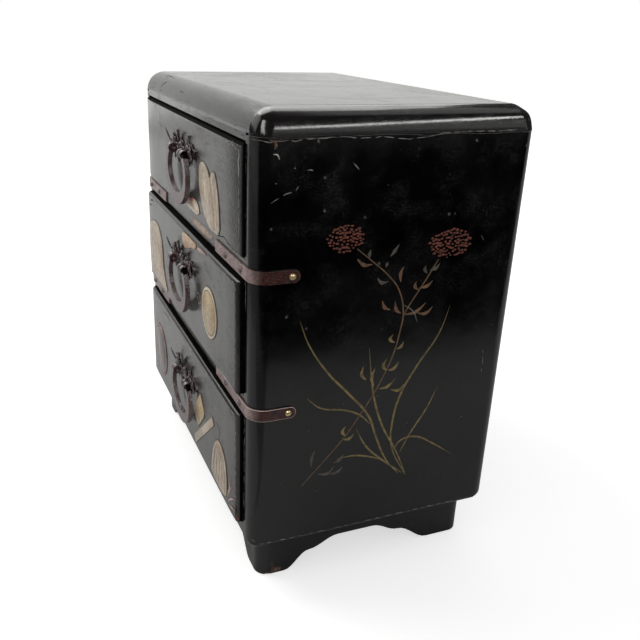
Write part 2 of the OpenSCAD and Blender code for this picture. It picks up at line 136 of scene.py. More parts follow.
class Graph:
    """A shader node tree with short ways to add nodes and join them."""

    def __init__(self, tree: bpy.types.NodeTree) -> None:
        """Keeps the tree."""
        self.tree = tree

    def put(self, socket: Socket, value: object) -> None:
        """Joins a socket to another one, or gives it a constant.

        Args:
            socket: the socket.
            value: the other socket or the constant. A colour may leave out its alpha.
        """
        if isinstance(value, Socket):
            self.tree.links.new(value, socket)
        else:
            opaque = socket.type == "RGBA" and len(value) == 3
            socket.default_value = (*value, 1.0) if opaque else value

    def add(self, kind: str, inputs: dict[str | int, object] | None = None, **settings: object) -> Node:
        """Adds a node.

        Args:
            kind: its type.
            inputs: what feeds its inputs, by name or number.
            settings: its properties.

        Returns:
            The node.
        """
        node = self.tree.nodes.new(kind)
        for name, value in settings.items():
            setattr(node, name, value)
        for name, value in (inputs or {}).items():
            self.put(node.inputs[name], value)
        return node

    def place(self) -> Socket:
        """Gives the point on the piece, in metres in the chest's frame."""
        return self.add("ShaderNodeTexCoord").outputs["Object"]

    def moved(self, place: object, turn: Point = (0, 0, 0), scale: object = (1, 1, 1)) -> Socket:
        """Turns and stretches a place."""
        inputs = {"Vector": place, "Rotation": turn, "Scale": scale}
        return self.add("ShaderNodeMapping", inputs).outputs["Vector"]

    def parts(self, place: object) -> Sequence[Socket]:
        """Splits a vector into its X, Y and Z."""
        return self.add("ShaderNodeSeparateXYZ", {0: place}).outputs

    def math(self, operation: str, a: object, b: object = 0.0, clamp: bool = False) -> Socket:
        """Works out two values with a Math node."""
        return self.add("ShaderNodeMath", {0: a, 1: b}, operation=operation, use_clamp=clamp).outputs[0]

    def times(self, a: object, b: object) -> Socket:
        """Multiplies two values."""
        return self.math("MULTIPLY", a, b)

    def plus(self, a: object, b: object, clamp: bool = False) -> Socket:
        """Adds two values."""
        return self.math("ADD", a, b, clamp)

    def minus(self, a: object, b: object, clamp: bool = False) -> Socket:
        """Takes the second value from the first."""
        return self.math("SUBTRACT", a, b, clamp)

    def vector(self, operation: str, a: object, b: object) -> Socket:
        """Works out two vectors with a Vector Math node."""
        return self.add("ShaderNodeVectorMath", {0: a, 1: b}, operation=operation).outputs["Vector"]

    def step(self, value: object, low: object, high: object, a: object = 0.0, b: object = 1.0) -> Socket:
        """Eases a value from a to b while it runs from low to high."""
        inputs = {"Value": value, "From Min": low, "From Max": high, "To Min": a, "To Max": b}
        return self.add("ShaderNodeMapRange", inputs, interpolation_type="SMOOTHSTEP").outputs["Result"]

    def noise(self, place: object, scale: object, detail: float = 3.0, rough: float = 0.55,
              twist: float = 0.0) -> Socket:
        """Gives a Noise texture's grey value."""
        inputs = {"Vector": place, "Scale": scale, "Detail": detail, "Roughness": rough, "Distortion": twist}
        return self.add("ShaderNodeTexNoise", inputs).outputs["Fac"]

    def mix(self, share: object, a: object, b: object) -> Socket:
        """Mixes two colours by the second one's share."""
        return self.add("ShaderNodeMix", {0: share, 6: a, 7: b}, data_type="RGBA").outputs[2]

    def bump(self, height: object, depth: float, strength: float = 1.0) -> Socket:
        """Gives the normal of a surface with a height map of a depth in millimetres."""
        inputs = {"Strength": strength, "Distance": depth * MM, "Height": height}
        return self.add("ShaderNodeBump", inputs).outputs["Normal"]


class Effect:
    """A shader node group that several finishes share, made once and placed with their own values."""

    name = ""
    inputs: dict[str, object] = {}
    outputs: tuple[str, ...] = ()

    def draw(self, graph: Graph, given: Sockets) -> Sockets:
        """Draws the inside of the group.

        Args:
            graph: the group's own graph.
            given: the group's inputs by name.

        Returns:
            A socket for each output.
        """
        raise NotImplementedError

    def group(self) -> bpy.types.NodeTree:
        """Gives the node group and makes it at its first use.

        Returns:
            The group.
        """
        found = bpy.data.node_groups.get(self.name)
        if found:
            return found
        tree = bpy.data.node_groups.new(self.name, "ShaderNodeTree")
        for name, value in self.inputs.items():
            kind = "NodeSocketVector" if isinstance(value, tuple) else "NodeSocketFloat"
            tree.interface.new_socket(name, in_out="INPUT", socket_type=kind).default_value = value
        for name in self.outputs:
            tree.interface.new_socket(name, in_out="OUTPUT", socket_type="NodeSocketFloat")
        graph = Graph(tree)
        given = graph.add("NodeGroupInput")
        results = graph.add("NodeGroupOutput")
        made = self.draw(graph, {name: given.outputs[name] for name in self.inputs})
        for name in self.outputs:
            graph.put(results.inputs[name], made[name])
        return tree

    def use(self, graph: Graph, **values: object) -> Sockets:
        """Places the group in a material.

        Args:
            graph: the material's graph.
            values: the inputs that differ from the group's own, with _ for a space.

        Returns:
            The group's outputs by name.
        """
        node = graph.add("ShaderNodeGroup", node_tree=self.group())
        for name, value in values.items():
            graph.put(node.inputs[name.replace("_", " ").title()], value)
        return {name: node.outputs[name] for name in self.outputs}


class EdgeWear(Effect):
    """Where hands and knocks have worn a board's edges: near two of its box's faces at once."""

    name = "edge_wear"
    inputs = {"Low": (0.0, 0.0, 0.0), "High": (1.0, 1.0, 1.0), "Width": 0.002, "Scale": 220.0, "Amount": 0.5}
    outputs = ("Mask",)

    def draw(self, graph: Graph, given: Sockets) -> Sockets:
        """Draws the mask from the distances to the box's faces.

        Args:
            graph: its graph.
            given: its inputs.

        Returns:
            Its outputs.
        """
        place = graph.place()
        inside = graph.vector(
            "MINIMUM", graph.vector("SUBTRACT", place, given["Low"]),
            graph.vector("SUBTRACT", given["High"], place))
        x, y, z = (graph.step(part, 0.0, given["Width"], 1.0, 0.0) for part in graph.parts(inside))
        pairs = [graph.times(a, b) for a, b in ((x, y), (y, z), (x, z))]
        edge = graph.math("MAXIMUM", graph.math("MAXIMUM", pairs[0], pairs[1]), pairs[2])
        grit = graph.noise(place, given["Scale"], 6.0, 0.7)
        reach = graph.minus(graph.plus(edge, grit), graph.minus(1.6, given["Amount"]))
        return {"Mask": graph.step(reach, 0.0, 0.12)}


class Scratches(Effect):
    """Fine straight scratches that lie in several directions and break off."""

    name = "scratches"
    inputs = {"Scale": 30.0, "Amount": 0.5}
    outputs = ("Mask",)

    def draw(self, graph: Graph, given: Sockets) -> Sockets:
        """Draws thin bands of stretched noise, each broken by a second noise.

        Args:
            graph: its graph.
            given: its inputs.

        Returns:
            Its outputs.
        """
        place = graph.place()
        total: object = 0.0
        for turn, stretch in (((0.5, 0.9, 0.2), 26.0), ((1.7, 0.3, 2.1), 34.0), ((2.6, 1.9, 1.1), 30.0)):
            turned = graph.moved(place, turn, (1.0, stretch, stretch))
            value = graph.noise(turned, given["Scale"], 1.0, 0.5)
            band = graph.math("ABSOLUTE", graph.minus(value, 0.5))
            line = graph.step(band, 0.0, 0.006, 1.0, 0.0)
            broken = graph.noise(graph.moved(place, turn), 55.0, 2.0, 0.6)
            gate = graph.step(broken, graph.minus(0.95, given["Amount"]), 0.9)
            total = graph.math("MAXIMUM", total, graph.times(line, gate))
        return {"Mask": total}


class Handling(Effect):
    """Soft smears that hands leave in a polish, and the slow waves of a brushed coat."""

    name = "handling"
    inputs = {"Scale": 18.0}
    outputs = ("Smear", "Wave", "Grit")

    def draw(self, graph: Graph, given: Sockets) -> Sockets:
        """Draws the three noises.

        Args:
            graph: its graph.
            given: its inputs.

        Returns:
            Its outputs.
        """
        place = graph.place()
        smear = graph.noise(place, given["Scale"], 5.0, 0.65, 0.6)
        wave = graph.noise(place, graph.times(given["Scale"], 2.2), 2.0, 0.45)
        grit = graph.noise(place, 900.0, 3.0, 0.6)
        return {"Smear": graph.step(smear, 0.35, 0.7), "Wave": wave, "Grit": grit}


class Specks(Effect):
    """Small scattered dents and lost flakes."""

    name = "specks"
    inputs = {"Scale": 90.0, "Size": 0.08}
    outputs = ("Mask",)

    def draw(self, graph: Graph, given: Sockets) -> Sockets:
        """Draws a round spot in some of the cells of a Voronoi texture.

        Args:
            graph: its graph.
            given: its inputs.

        Returns:
            Its outputs.
        """
        cells = graph.add("ShaderNodeTexVoronoi", {"Vector": graph.place(), "Scale": given["Scale"]})
        ragged = graph.plus(
            cells.outputs["Distance"],
            graph.times(graph.minus(graph.noise(graph.place(), 700.0, 3.0), 0.5), 0.12))
        chosen = graph.add("ShaderNodeSeparateColor", {0: cells.outputs["Color"]})
        spot = graph.step(ragged, 0.0, given["Size"], 1.0, 0.0)
        return {"Mask": graph.times(spot, graph.step(chosen.outputs[0], 0.6, 0.75))}


class Dust(Effect):
    """Pale dust that lies on what faces up."""

    name = "dust"
    inputs = {"Amount": 0.3}
    outputs = ("Mask",)

    def draw(self, graph: Graph, given: Sockets) -> Sockets:
        """Draws the share of a surface that faces up, broken by noise.

        Args:
            graph: its graph.
            given: its inputs.

        Returns:
            Its outputs.
        """
        up = graph.step(graph.parts(graph.add("ShaderNodeNewGeometry").outputs["Normal"])[2], 0.5, 1.0)
        clouds = graph.step(graph.noise(graph.place(), 35.0, 6.0, 0.7), 0.3, 0.75, 0.35, 1.0)
        return {"Mask": graph.times(graph.times(up, clouds), given["Amount"])}


class Grain(Effect):
    """The long streaks and open pores of sawn wood."""

    name = "grain"
    inputs = {"Stretch": (1.0, 8.0, 8.0)}
    outputs = ("Streak", "Pore")

    def draw(self, graph: Graph, given: Sockets) -> Sockets:
        """Draws the streaks along the direction that the stretch leaves long.

        Args:
            graph: its graph.
            given: its inputs.

        Returns:
            Its outputs.
        """
        long_place = graph.moved(graph.place(), scale=given["Stretch"])
        streak = graph.noise(long_place, 26.0, 7.0, 0.62, 0.7)
        pore = graph.step(graph.noise(long_place, 210.0, 2.0, 0.5), 0.33, 0.46, 1.0, 0.0)
        return {"Streak": streak, "Pore": pore}


class Tarnish(Effect):
    """Dark tarnish in soft blotches, with finer spots in it."""

    name = "tarnish"
    inputs = {"Scale": 160.0}
    outputs = ("Blotch", "Spot")

    def draw(self, graph: Graph, given: Sockets) -> Sockets:
        """Draws a coarse and a fine noise.

        Args:
            graph: its graph.
            given: its inputs.

        Returns:
            Its outputs.
        """
        place = graph.place()
        blotch = graph.step(graph.noise(place, given["Scale"], 5.0, 0.65, 0.4), 0.38, 0.66)
        spot = graph.step(graph.noise(place, graph.times(given["Scale"], 5.0), 3.0, 0.6), 0.4, 0.62)
        return {"Blotch": blotch, "Spot": spot}


class Weave(Effect):
    """The pile and threads of a plain cloth."""

    name = "weave"
    inputs = {"Pitch": 1400.0}
    outputs = ("Thread", "Nap")

    def draw(self, graph: Graph, given: Sockets) -> Sockets:
        """Draws crossed sine bands and the cloudy lie of the nap.

        Args:
            graph: its graph.
            given: its inputs.

        Returns:
            Its outputs.
        """
        place = graph.place()
        bands = [graph.math("SINE", graph.times(graph.times(part, given["Pitch"]), math.tau))
                 for part in graph.parts(place)[:2]]
        thread = graph.times(graph.times(*bands), 0.5)
        return {"Thread": graph.plus(thread, 0.5), "Nap": graph.noise(place, 60.0, 5.0, 0.7, 0.8)}


# Finishes


@dataclass(frozen=True)
class Finish:
    """A finish on a piece: its name and how its material is drawn."""

    name: str

    def draw(self, graph: Graph) -> Feeds:
        """Draws the material's nodes.

        Args:
            graph: the material's graph.

        Returns:
            What feeds the shader, by the names of its sockets.
        """
        raise NotImplementedError

    def material(self) -> bpy.types.Material:
        """Gives the material and makes it at its first use.

        Returns:
            The material.
        """
        found = bpy.data.materials.get(self.name)
        if found:
            return found
        made = bpy.data.materials.new(self.name)
        made.use_nodes = True
        graph = Graph(made.node_tree)
        for name, value in self.draw(graph).items():
            graph.put(made.node_tree.nodes["Principled BSDF"].inputs[name], value)
        return made


@dataclass(frozen=True)
class Lacquer(Finish):
    """Old black lacquer on one board, worn along the edges of the board's box."""

    low: Point = (0.0, 0.0, 0.0)
    high: Point = (0.0, 0.0, 0.0)
    edge: float = 2.0
    wear: float = 0.35
    rough: float = 0.2
    dust: float = 0.1
    depth: Colour = (0.0012, 0.0011, 0.0015)
    warm: Colour = (0.006, 0.0035, 0.0035)
    bared: Colour = (0.11, 0.052, 0.03)
    haze: Colour = (0.17, 0.17, 0.15)
    fleck: Colour = (0.09, 0.075, 0.065)
    wave: float = 0.25
    peel: float = 0.012

    def draw(self, graph: Graph) -> Feeds:
        """Draws the black, the worn edges, the scratches, the dust and the waves of the coat.

        Args:
            graph: its graph.

        Returns:
            What feeds its shader.
        """
        hands = Handling().use(graph)
        wear_and_sheen = EdgeWear().use(
            graph, low=tuple(v * MM for v in self.low), high=tuple(v * MM for v in self.high),
            width=self.edge * MM, amount=self.wear)["Mask"]
        lines = Scratches().use(graph)["Mask"]
        specks = Specks().use(graph)["Mask"]
        dust = Dust().use(graph, amount=self.dust)["Mask"]
        black = graph.mix(hands["Smear"], self.depth, self.warm)
        scuffed = graph.mix(graph.times(lines, 0.5), black, self.haze)
        dusty = graph.mix(dust, scuffed, self.haze)
        shown = graph.mix(graph.times(wear_and_sheen, 0.8), dusty, self.bared)
        gloss = graph.plus(graph.times(hands["Smear"], 0.1), self.rough)
        matt = graph.times(graph.math("MAXIMUM", wear_and_sheen, lines), 0.3)
        hollows = graph.plus(graph.times(specks, -0.5), graph.times(lines, -0.12))
        relief = graph.plus(graph.times(hands["Wave"], self.wave), hollows)
        relief = graph.plus(relief, graph.times(hands["Grit"], self.peel))
        return {
            "Base Color": graph.mix(graph.times(specks, 0.7), shown, self.fleck),
            "Roughness": graph.plus(gloss, matt, clamp=True), "IOR": 1.5,
            "Normal": graph.bump(relief, depth=1.0, strength=0.6)}


@dataclass(frozen=True)
class Wood(Finish):
    """Plain planed wood, with the grain along one direction."""

    stretch: Point = (1.0, 8.0, 8.0)
    light: Colour = (0.42, 0.26, 0.14)
    dark: Colour = (0.2, 0.11, 0.055)
    rough: float = 0.62

    def draw(self, graph: Graph) -> Feeds:
        """Draws the streaks, the pores and a handled grey.

        Args:
            graph: its graph.

        Returns:
            What feeds its shader.
        """
        grain = Grain().use(graph, stretch=self.stretch)
        hands = Handling().use(graph)
        base = graph.mix(graph.step(grain["Streak"], 0.3, 0.7), self.light, self.dark)
        pored = graph.mix(graph.times(grain["Pore"], 0.45), base, tuple(v * 0.4 for v in self.dark))
        relief = graph.minus(graph.times(grain["Streak"], 0.4), grain["Pore"])
        return {
            "Base Color": graph.mix(
                graph.times(hands["Smear"], 0.3), pored, tuple(v * 0.55 for v in self.light)),
            "Roughness": graph.plus(self.rough, graph.times(grain["Pore"], 0.15)),
            "Normal": graph.bump(relief, depth=0.08)}


@dataclass(frozen=True)
class OldMetal(Finish):
    """Handled metal, tarnished in blotches and scratched bright, that may take a pale painted reflection on
    its faces towards the front.
    """

    bright: Colour = (0.5, 0.3, 0.25)
    dull: Colour = (0.12, 0.05, 0.05)
    tarnish: float = 0.75
    rough: float = 0.32
    metallic: float = 0.9
    scale: float = 160.0
    ior: float = 1.5
    wear_and_sheen: Colour | None = None
    sheen_over: Flat = (-0.0668, -0.0605)

    def draw(self, graph: Graph) -> Feeds:
        """Draws the tarnish in colour, metal and gloss, and a fine hammered relief.

        Args:
            graph: its graph.

        Returns:
            What feeds its shader.
        """
        tarnish = Tarnish().use(graph, scale=self.scale)
        lines = Scratches().use(graph, scale=90.0, amount=0.6)["Mask"]
        share = graph.times(tarnish["Blotch"], self.tarnish)
        base = graph.mix(share, self.bright, self.dull)
        # A pale colour on the faces towards the front, fading round the bend as Y grows and weaker where the
        # tarnish lies, is a painted reflection.
        if self.wear_and_sheen is not None:
            rub_and_sheen = graph.step(graph.parts(graph.place())[1], *self.sheen_over, 1.0, 0.0)
            rub_and_sheen = graph.times(rub_and_sheen, graph.minus(1.0, graph.times(share, 0.5)))
            base = graph.mix(rub_and_sheen, base, self.wear_and_sheen)
        return {
            "Base Color": graph.mix(graph.times(lines, 0.4), base, self.bright),
            "Metallic": graph.minus(self.metallic, graph.times(share, 0.25), clamp=True),
            "Roughness": graph.plus(self.rough, graph.times(tarnish["Spot"], 0.16), clamp=True),
            "IOR": self.ior, "Normal": graph.bump(tarnish["Spot"], depth=0.06)}


@dataclass(frozen=True)
class Paint(Finish):
    """Thin paint or gold powder laid on lacquer, rubbed away in places."""

    colour: Colour = (0.3, 0.2, 0.1)
    second: Colour = (0.2, 0.12, 0.06)
    rub_and_sheen: float = 0.4
    metallic: float = 0.0
    rough: float = 0.45
    under: Colour = (0.01, 0.009, 0.01)
    shine: float = 0.5

    def draw(self, graph: Graph) -> Feeds:
        """Draws the two tones and the rubbed places.

        Args:
            graph: its graph.

        Returns:
            What feeds its shader.
        """
        place = graph.place()
        tone = graph.mix(
            graph.step(graph.noise(place, 260.0, 4.0, 0.6), 0.35, 0.65), self.colour, self.second)
        gone = graph.times(graph.step(graph.noise(place, 480.0, 5.0, 0.7), 0.5, 0.62), self.rub_and_sheen)
        return {
            "Specular IOR Level": self.shine, "Base Color": graph.mix(gone, tone, self.under),
            "Metallic": graph.times(graph.minus(1.0, gone), self.metallic),
            "Roughness": graph.minus(self.rough, graph.times(gone, 0.15)),
            "Normal": graph.bump(graph.noise(place, 1500.0, 3.0), depth=0.03)}


@dataclass(frozen=True)
class Stone(Finish):
    """Carved soapstone or shell, tinted, veined and grimy in spots."""

    colour: Colour = (0.55, 0.48, 0.36)
    second: Colour = (0.4, 0.32, 0.22)
    grime: Colour = (0.12, 0.09, 0.065)
    dirt: float = 0.55
    rough: float = 0.42

    def draw(self, graph: Graph) -> Feeds:
        """Draws the clouds, the veins and the grime.

        Args:
            graph: its graph.

        Returns:
            What feeds its shader.
        """
        place = graph.place()
        clouds = graph.step(graph.noise(place, 70.0, 6.0, 0.62, 0.8), 0.32, 0.68)
        base = graph.mix(clouds, self.colour, self.second)
        vein = graph.math("ABSOLUTE", graph.minus(graph.noise(place, 120.0, 4.0, 0.5, 1.5), 0.5))
        veined = graph.mix(graph.step(vein, 0.0, 0.035, 0.4, 0.0), base, self.grime)
        spots = graph.step(graph.noise(place, 420.0, 6.0, 0.75), 0.5, 0.68)
        return {
            "Base Color": graph.mix(graph.times(spots, self.dirt), veined, self.grime),
            "Roughness": graph.plus(self.rough, graph.times(spots, 0.2)),
            "Normal": graph.bump(graph.noise(place, 500.0, 5.0, 0.65), depth=0.16)}


@dataclass(frozen=True)
class Cloth(Finish):
    """Short-piled cloth glued into the drawers."""

    colour: Colour = (0.24, 0.03, 0.04)
    wear_and_sheen: Colour = (0.36, 0.12, 0.1)

    def draw(self, graph: Graph) -> Feeds:
        """Draws the weave, the nap and a soft sheen.

        Args:
            graph: its graph.

        Returns:
            What feeds its shader.
        """
        weave = Weave().use(graph)
        base = graph.mix(graph.step(weave["Nap"], 0.35, 0.7), self.colour, self.wear_and_sheen)
        relief = graph.plus(weave["Thread"], graph.times(weave["Nap"], 2.0))
        return {
            "Base Color": graph.mix(
                graph.times(weave["Thread"], 0.35), base, tuple(v * 0.5 for v in self.colour)),
            "Roughness": graph.plus(0.85, graph.times(weave["Nap"], 0.1)), "Sheen Weight": 0.35,
            "Normal": graph.bump(relief, depth=0.12)}


BARED_WOOD = Wood("bared_wood", (3.0, 3.0, 3.0), (0.2, 0.095, 0.05), (0.07, 0.032, 0.02), rough=0.55)
DRAWER_WOOD_LONG = Wood("drawer_wood_along_depth", (8.0, 1.0, 8.0))
DRAWER_WOOD_WIDE = Wood("drawer_wood_along_width", (1.0, 8.0, 8.0))
BLOCK_WOOD = Wood("block_wood", (8.0, 8.0, 1.0), (0.3, 0.19, 0.11), (0.15, 0.085, 0.05))
BLACK = (0.0006, 0.0006, 0.0008)
WARM_BLACK = (0.0022, 0.0014, 0.0014)
GREY_BLACK = (0.012, 0.0112, 0.0105)
WARM_GREY = (0.034, 0.029, 0.025)
# The straps' front faces take the pale pinkish colour given last, fading round the bend: a painted
# reflection over the dark tarnished copper.
STRAP_METAL = OldMetal(
    "strap_copper", (0.06, 0.01, 0.006), (0.016, 0.003, 0.003), tarnish=0.9, rough=0.2, metallic=0.0,
    scale=300.0, ior=1.55, wear_and_sheen=(0.35, 0.25, 0.235))
# The straps' pale rims: bared copper along the edges and a painted highlight in the same colour.
RIM_METAL = OldMetal(
    "strap_bright_rim", (0.72, 0.56, 0.5), (0.42, 0.3, 0.26), tarnish=0.4, rough=0.55, metallic=0.0,
    scale=300.0)
RING_METAL = OldMetal(
    "ring_bronze", (0.1, 0.03, 0.033), (0.02, 0.004, 0.006), tarnish=0.85, rough=0.14, metallic=0.15,
    scale=420.0, ior=2.6)
PLATE_METAL = OldMetal(
    "plate_bronze", (0.07, 0.026, 0.027), (0.006, 0.003, 0.0035), tarnish=0.95, rough=0.2, metallic=0.25,
    scale=160.0, ior=2.1)
PIN_METAL = OldMetal(
    "pin_brass", (0.75, 0.5, 0.26), (0.4, 0.2, 0.09), tarnish=0.5, rough=0.25, metallic=0.6, scale=500.0)
# A darker copy of the pin brass for the front pins: painted shade.
SHADED_PIN_METAL = OldMetal(
    "pin_painted_shade", (0.14, 0.08, 0.075), (0.02, 0.01, 0.01), tarnish=0.6, rough=0.2, metallic=0.3, scale=500.0,
    ior=2.4)
LINING = Cloth("lining_cloth")
# Near-black matt paint with almost no gloss: painted shade on the drawer fronts' ends and tops, and in the
# holes of the ring pulls' rolled ends.
PAINTED_SHADE = Paint(
    "painted_shade_black", (0.0012, 0.001, 0.0012), (0.004, 0.003, 0.003), rub_and_sheen=0.1, rough=0.8, shine=0.03)
LIP = Paint("lip_bared_edge", (0.16, 0.14, 0.125), (0.05, 0.042, 0.04), rub_and_sheen=0.9, rough=0.4)


# Mesh work


def linked(name: str, data: bpy.types.ID) -> bpy.types.Object:
    """Puts a mesh, curve, lamp or camera in the scene.

    Args:
        name: the object's name.
        data: what it shows.

    Returns:
        The object.
    """
    made = bpy.data.objects.new(name, data)
    bpy.context.scene.collection.objects.link(made)
    return made


class Work:
    """A bmesh that is being shaped, in millimetres, with the finishes of its faces."""

    def __init__(self, *finishes: Finish) -> None:
        """Starts an empty mesh whose face materials are these finishes, in order."""
        self.bm = bmesh.new()
        self.finishes = list(finishes)

    @classmethod
    def box(cls, low: Point, high: Point, *finishes: Finish) -> "Work":
        """Starts from a cube that is brought to a box.

        Args:
            low: the lowest corner.
            high: the highest corner.
            finishes: the finishes of its faces, in order.

        Returns:
            The work.
        """
        work = cls(*finishes)
        work.add_box(low, high)
        return work

    @classmethod
    def from_node(cls, node: str, *finishes: Finish) -> "Work":
        """Starts from a merged copy of a CAD node, with its flat faces joined.

        Args:
            node: the CAD node.
            finishes: the finishes of its faces, in order.

        Returns:
            The work.
        """
        work = cls(*finishes)
        work.bm.from_mesh(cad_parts[node].data)
        bmesh.ops.scale(work.bm, vec=Vector((1 / MM,) * 3), verts=work.bm.verts)
        bmesh.ops.remove_doubles(work.bm, verts=work.bm.verts, dist=0.002)
        bmesh.ops.dissolve_limit(
            work.bm, angle_limit=math.radians(1.0), verts=work.bm.verts, edges=work.bm.edges)
        for face in work.bm.faces:
            face.material_index = 0
        return work

    def add_box(self, low: Point, high: Point, material: int = 0) -> list[BMVert]:
        """Adds a cube brought to a box and gives its corners.

        Args:
            low: the lowest corner.
            high: the highest corner.
            material: the index of its finish.

        Returns:
            Its corners.
        """
        size = Vector(high) - Vector(low)
        matrix = Matrix.Translation((Vector(low) + Vector(high)) / 2) @ Matrix.Diagonal(size).to_4x4()
        made = bmesh.ops.create_cube(self.bm, size=1.0, matrix=matrix)["verts"]
        self.tint(made, material)
        return made

    def add_ball(self, centre: Point, radii: Point, rounds: int = 2, material: int = 0) -> list[BMVert]:
        """Adds an icosphere stretched to three radii.

        Args:
            centre: its middle.
            radii: its three radii.
            rounds: how often it is refined.
            material: the index of its finish.

        Returns:
            Its vertices.
        """
        matrix = Matrix.Translation(centre) @ Matrix.Diagonal(radii).to_4x4()
        made = bmesh.ops.create_icosphere(self.bm, subdivisions=rounds, radius=1.0, matrix=matrix)["verts"]
        self.tint(made, material)
        return made

    def add_ring(self, centre: Point, axis: Point, radius: float, section: Flat,
                 sides: int = 12, steps: int = 28, material: int = 0) -> list[BMVert]:
        """Adds a closed ring: an oval section spun round an axis.

        Args:
            centre: the ring's middle.
            axis: the direction that it turns about.
            radius: from the middle to the section's middle.
            section: the section's half width along the axis and half height across it.
            sides: points round the section.
            steps: copies round the ring.
            material: the index of its finish.

        Returns:
            The ring's vertices.
        """
        direction = Vector(axis).normalized()
        out = direction.orthogonal().normalized()
        frame_matrix = Matrix((direction, out, direction.cross(out))).transposed().to_4x4()
        matrix = (Matrix.Translation(Vector(centre) + out * radius) @ frame_matrix
                  @ Matrix.Diagonal((section[0], section[1], 1.0)).to_4x4())
        before = set(self.bm.verts)
        loop = bmesh.ops.create_circle(self.bm, segments=sides, radius=1.0, matrix=matrix)["verts"]
        edges = list({e for v in loop for e in v.link_edges})
        bmesh.ops.spin(
            self.bm, geom=loop + edges, cent=Vector(centre), axis=direction,
            angle=math.tau, steps=steps, use_merge=True)
        made = [v for v in self.bm.verts if v not in before]
        bmesh.ops.remove_doubles(self.bm, verts=made, dist=0.0005)
        made = [v for v in self.bm.verts if v not in before]
        bmesh.ops.recalc_face_normals(self.bm, faces=list({f for v in made for f in v.link_faces}))
        self.tint(made, material)
        return made

    def add_slab(self, outline: Sequence[Flat], plane: Plane, origin: Point, thickness: float,
                 material: int = 0) -> list[BMVert]:
        """Adds a flat outline extruded out of a plane.

        Args:
            outline: the points of the outline, counterclockwise, in the plane.
            plane: the face of the chest that it lies on.
            origin: where the outline's zero is.
            thickness: how far it stands out.
            material: the index of its finish.

        Returns:
            The slab's vertices.
        """
        matrix = plane.placed(origin)
        verts = [self.bm.verts.new(matrix @ Vector((x, y, 0.0))) for x, y in outline]
        base = self.bm.faces.new(verts)
        out = matrix.to_3x3() @ Vector((0, 0, thickness))
        grown = bmesh.ops.extrude_face_region(self.bm, geom=[base], use_keep_orig=True)["geom"]
        top = [g for g in grown if isinstance(g, BMVert)]
        bmesh.ops.translate(self.bm, verts=top, vec=out)
        made = verts + top
        bmesh.ops.recalc_face_normals(self.bm, faces=list({f for v in made for f in v.link_faces}))
        self.tint(made, material)
        return made

    def tint(self, verts: Iterable[BMVert], material: int) -> None:
        """Gives the faces of some vertices a finish, by its index.

        Args:
            verts: the vertices.
            material: the index of its finish.
        """
        for vert in verts:
            for face in vert.link_faces:
                face.material_index = material

    def bevel(
            self, chosen: Callable[[BMEdge], bool], radius: float, segments: int = 3,
            material: int = -1) -> None:
        """Rounds the edges that a test chooses, in a finish of their own if one is given.

        Args:
            chosen: tells whether an edge is rounded.
            radius: the radius.
            segments: the faces across a rounding.
            material: the index of its finish.
        """
        edges = [e for e in self.bm.edges if len(e.link_faces) == 2 and chosen(e)]
        bmesh.ops.bevel(
            self.bm, geom=edges, offset=radius, offset_type="OFFSET", affect="EDGES",
            segments=segments, profile=0.5, material=material, clamp_overlap=True)

    def ease(self, radius: float, segments: int = 2, sharp: float = 40.0) -> None:
        """Rounds every edge that is sharper than an angle in degrees."""
        self.bevel(lambda e: e.calc_face_angle(0.0) > math.radians(sharp), radius=radius, segments=segments)

    def settle(self, change: Callable[[bpy.types.Object], None]) -> None:
        """Puts the mesh on a passing object, lets modifiers change it and takes the result back.

        Args:
            change: adds the modifiers.
        """
        mesh = bpy.data.meshes.new("passing")
        self.bm.to_mesh(mesh)
        for finish in self.finishes:
            mesh.materials.append(finish.material())
        passing = linked("passing", mesh)
        change(passing)
        graph = bpy.context.evaluated_depsgraph_get()
        result = bpy.data.meshes.new_from_object(passing.evaluated_get(graph))
        self.bm.clear()
        self.bm.from_mesh(result)
        bpy.data.objects.remove(passing)
        for used in (mesh, result):
            bpy.data.meshes.remove(used)

    def round_edges(self, radius_of: Callable[[BMEdge], float], segments: int = 8) -> None:
        """Rounds each edge by a radius of its own, which may meet others at a corner.

        Args:
            radius_of: gives the radius of an edge.
            segments: the faces across a rounding.
        """
        radii = {e.index: radius_of(e) for e in self.bm.edges}
        largest = max(radii.values())
        layer = self.bm.edges.layers.float.new("bevel_weight_edge")
        for edge in self.bm.edges:
            edge[layer] = radii[edge.index] / largest

        def change(passing: bpy.types.Object) -> None:
            """Adds the rounding modifier.

            Args:
                passing: the object that is changed.
            """
            bevel = passing.modifiers.new("round", "BEVEL")
            bevel.limit_method = "WEIGHT"
            bevel.width = largest
            bevel.segments = segments
            bevel.use_clamp_overlap = False

        self.settle(change)
        leftover = self.bm.edges.layers.float.get("bevel_weight_edge")
        if leftover:
            self.bm.edges.layers.float.remove(leftover)

    def carve(self, tool: "Work") -> None:
        """Cuts another mesh out of this one. The cut faces keep the tool's finish numbers.

        Args:
            tool: what is cut out.
        """
        mesh = bpy.data.meshes.new("tool")
        tool.bm.to_mesh(mesh)
        for finish in self.finishes:
            mesh.materials.append(finish.material())
        cutter = linked("tool", mesh)

        def change(passing: bpy.types.Object) -> None:
            """Adds the cutting modifier.

            Args:
                passing: the object that is changed.
            """
            cut = passing.modifiers.new("cut", "BOOLEAN")
            cut.operation = "DIFFERENCE"
            cut.solver = "EXACT"
            cut.use_self = True
            cut.object = cutter

        self.settle(change)
        bpy.data.objects.remove(cutter)
        bpy.data.meshes.remove(mesh)

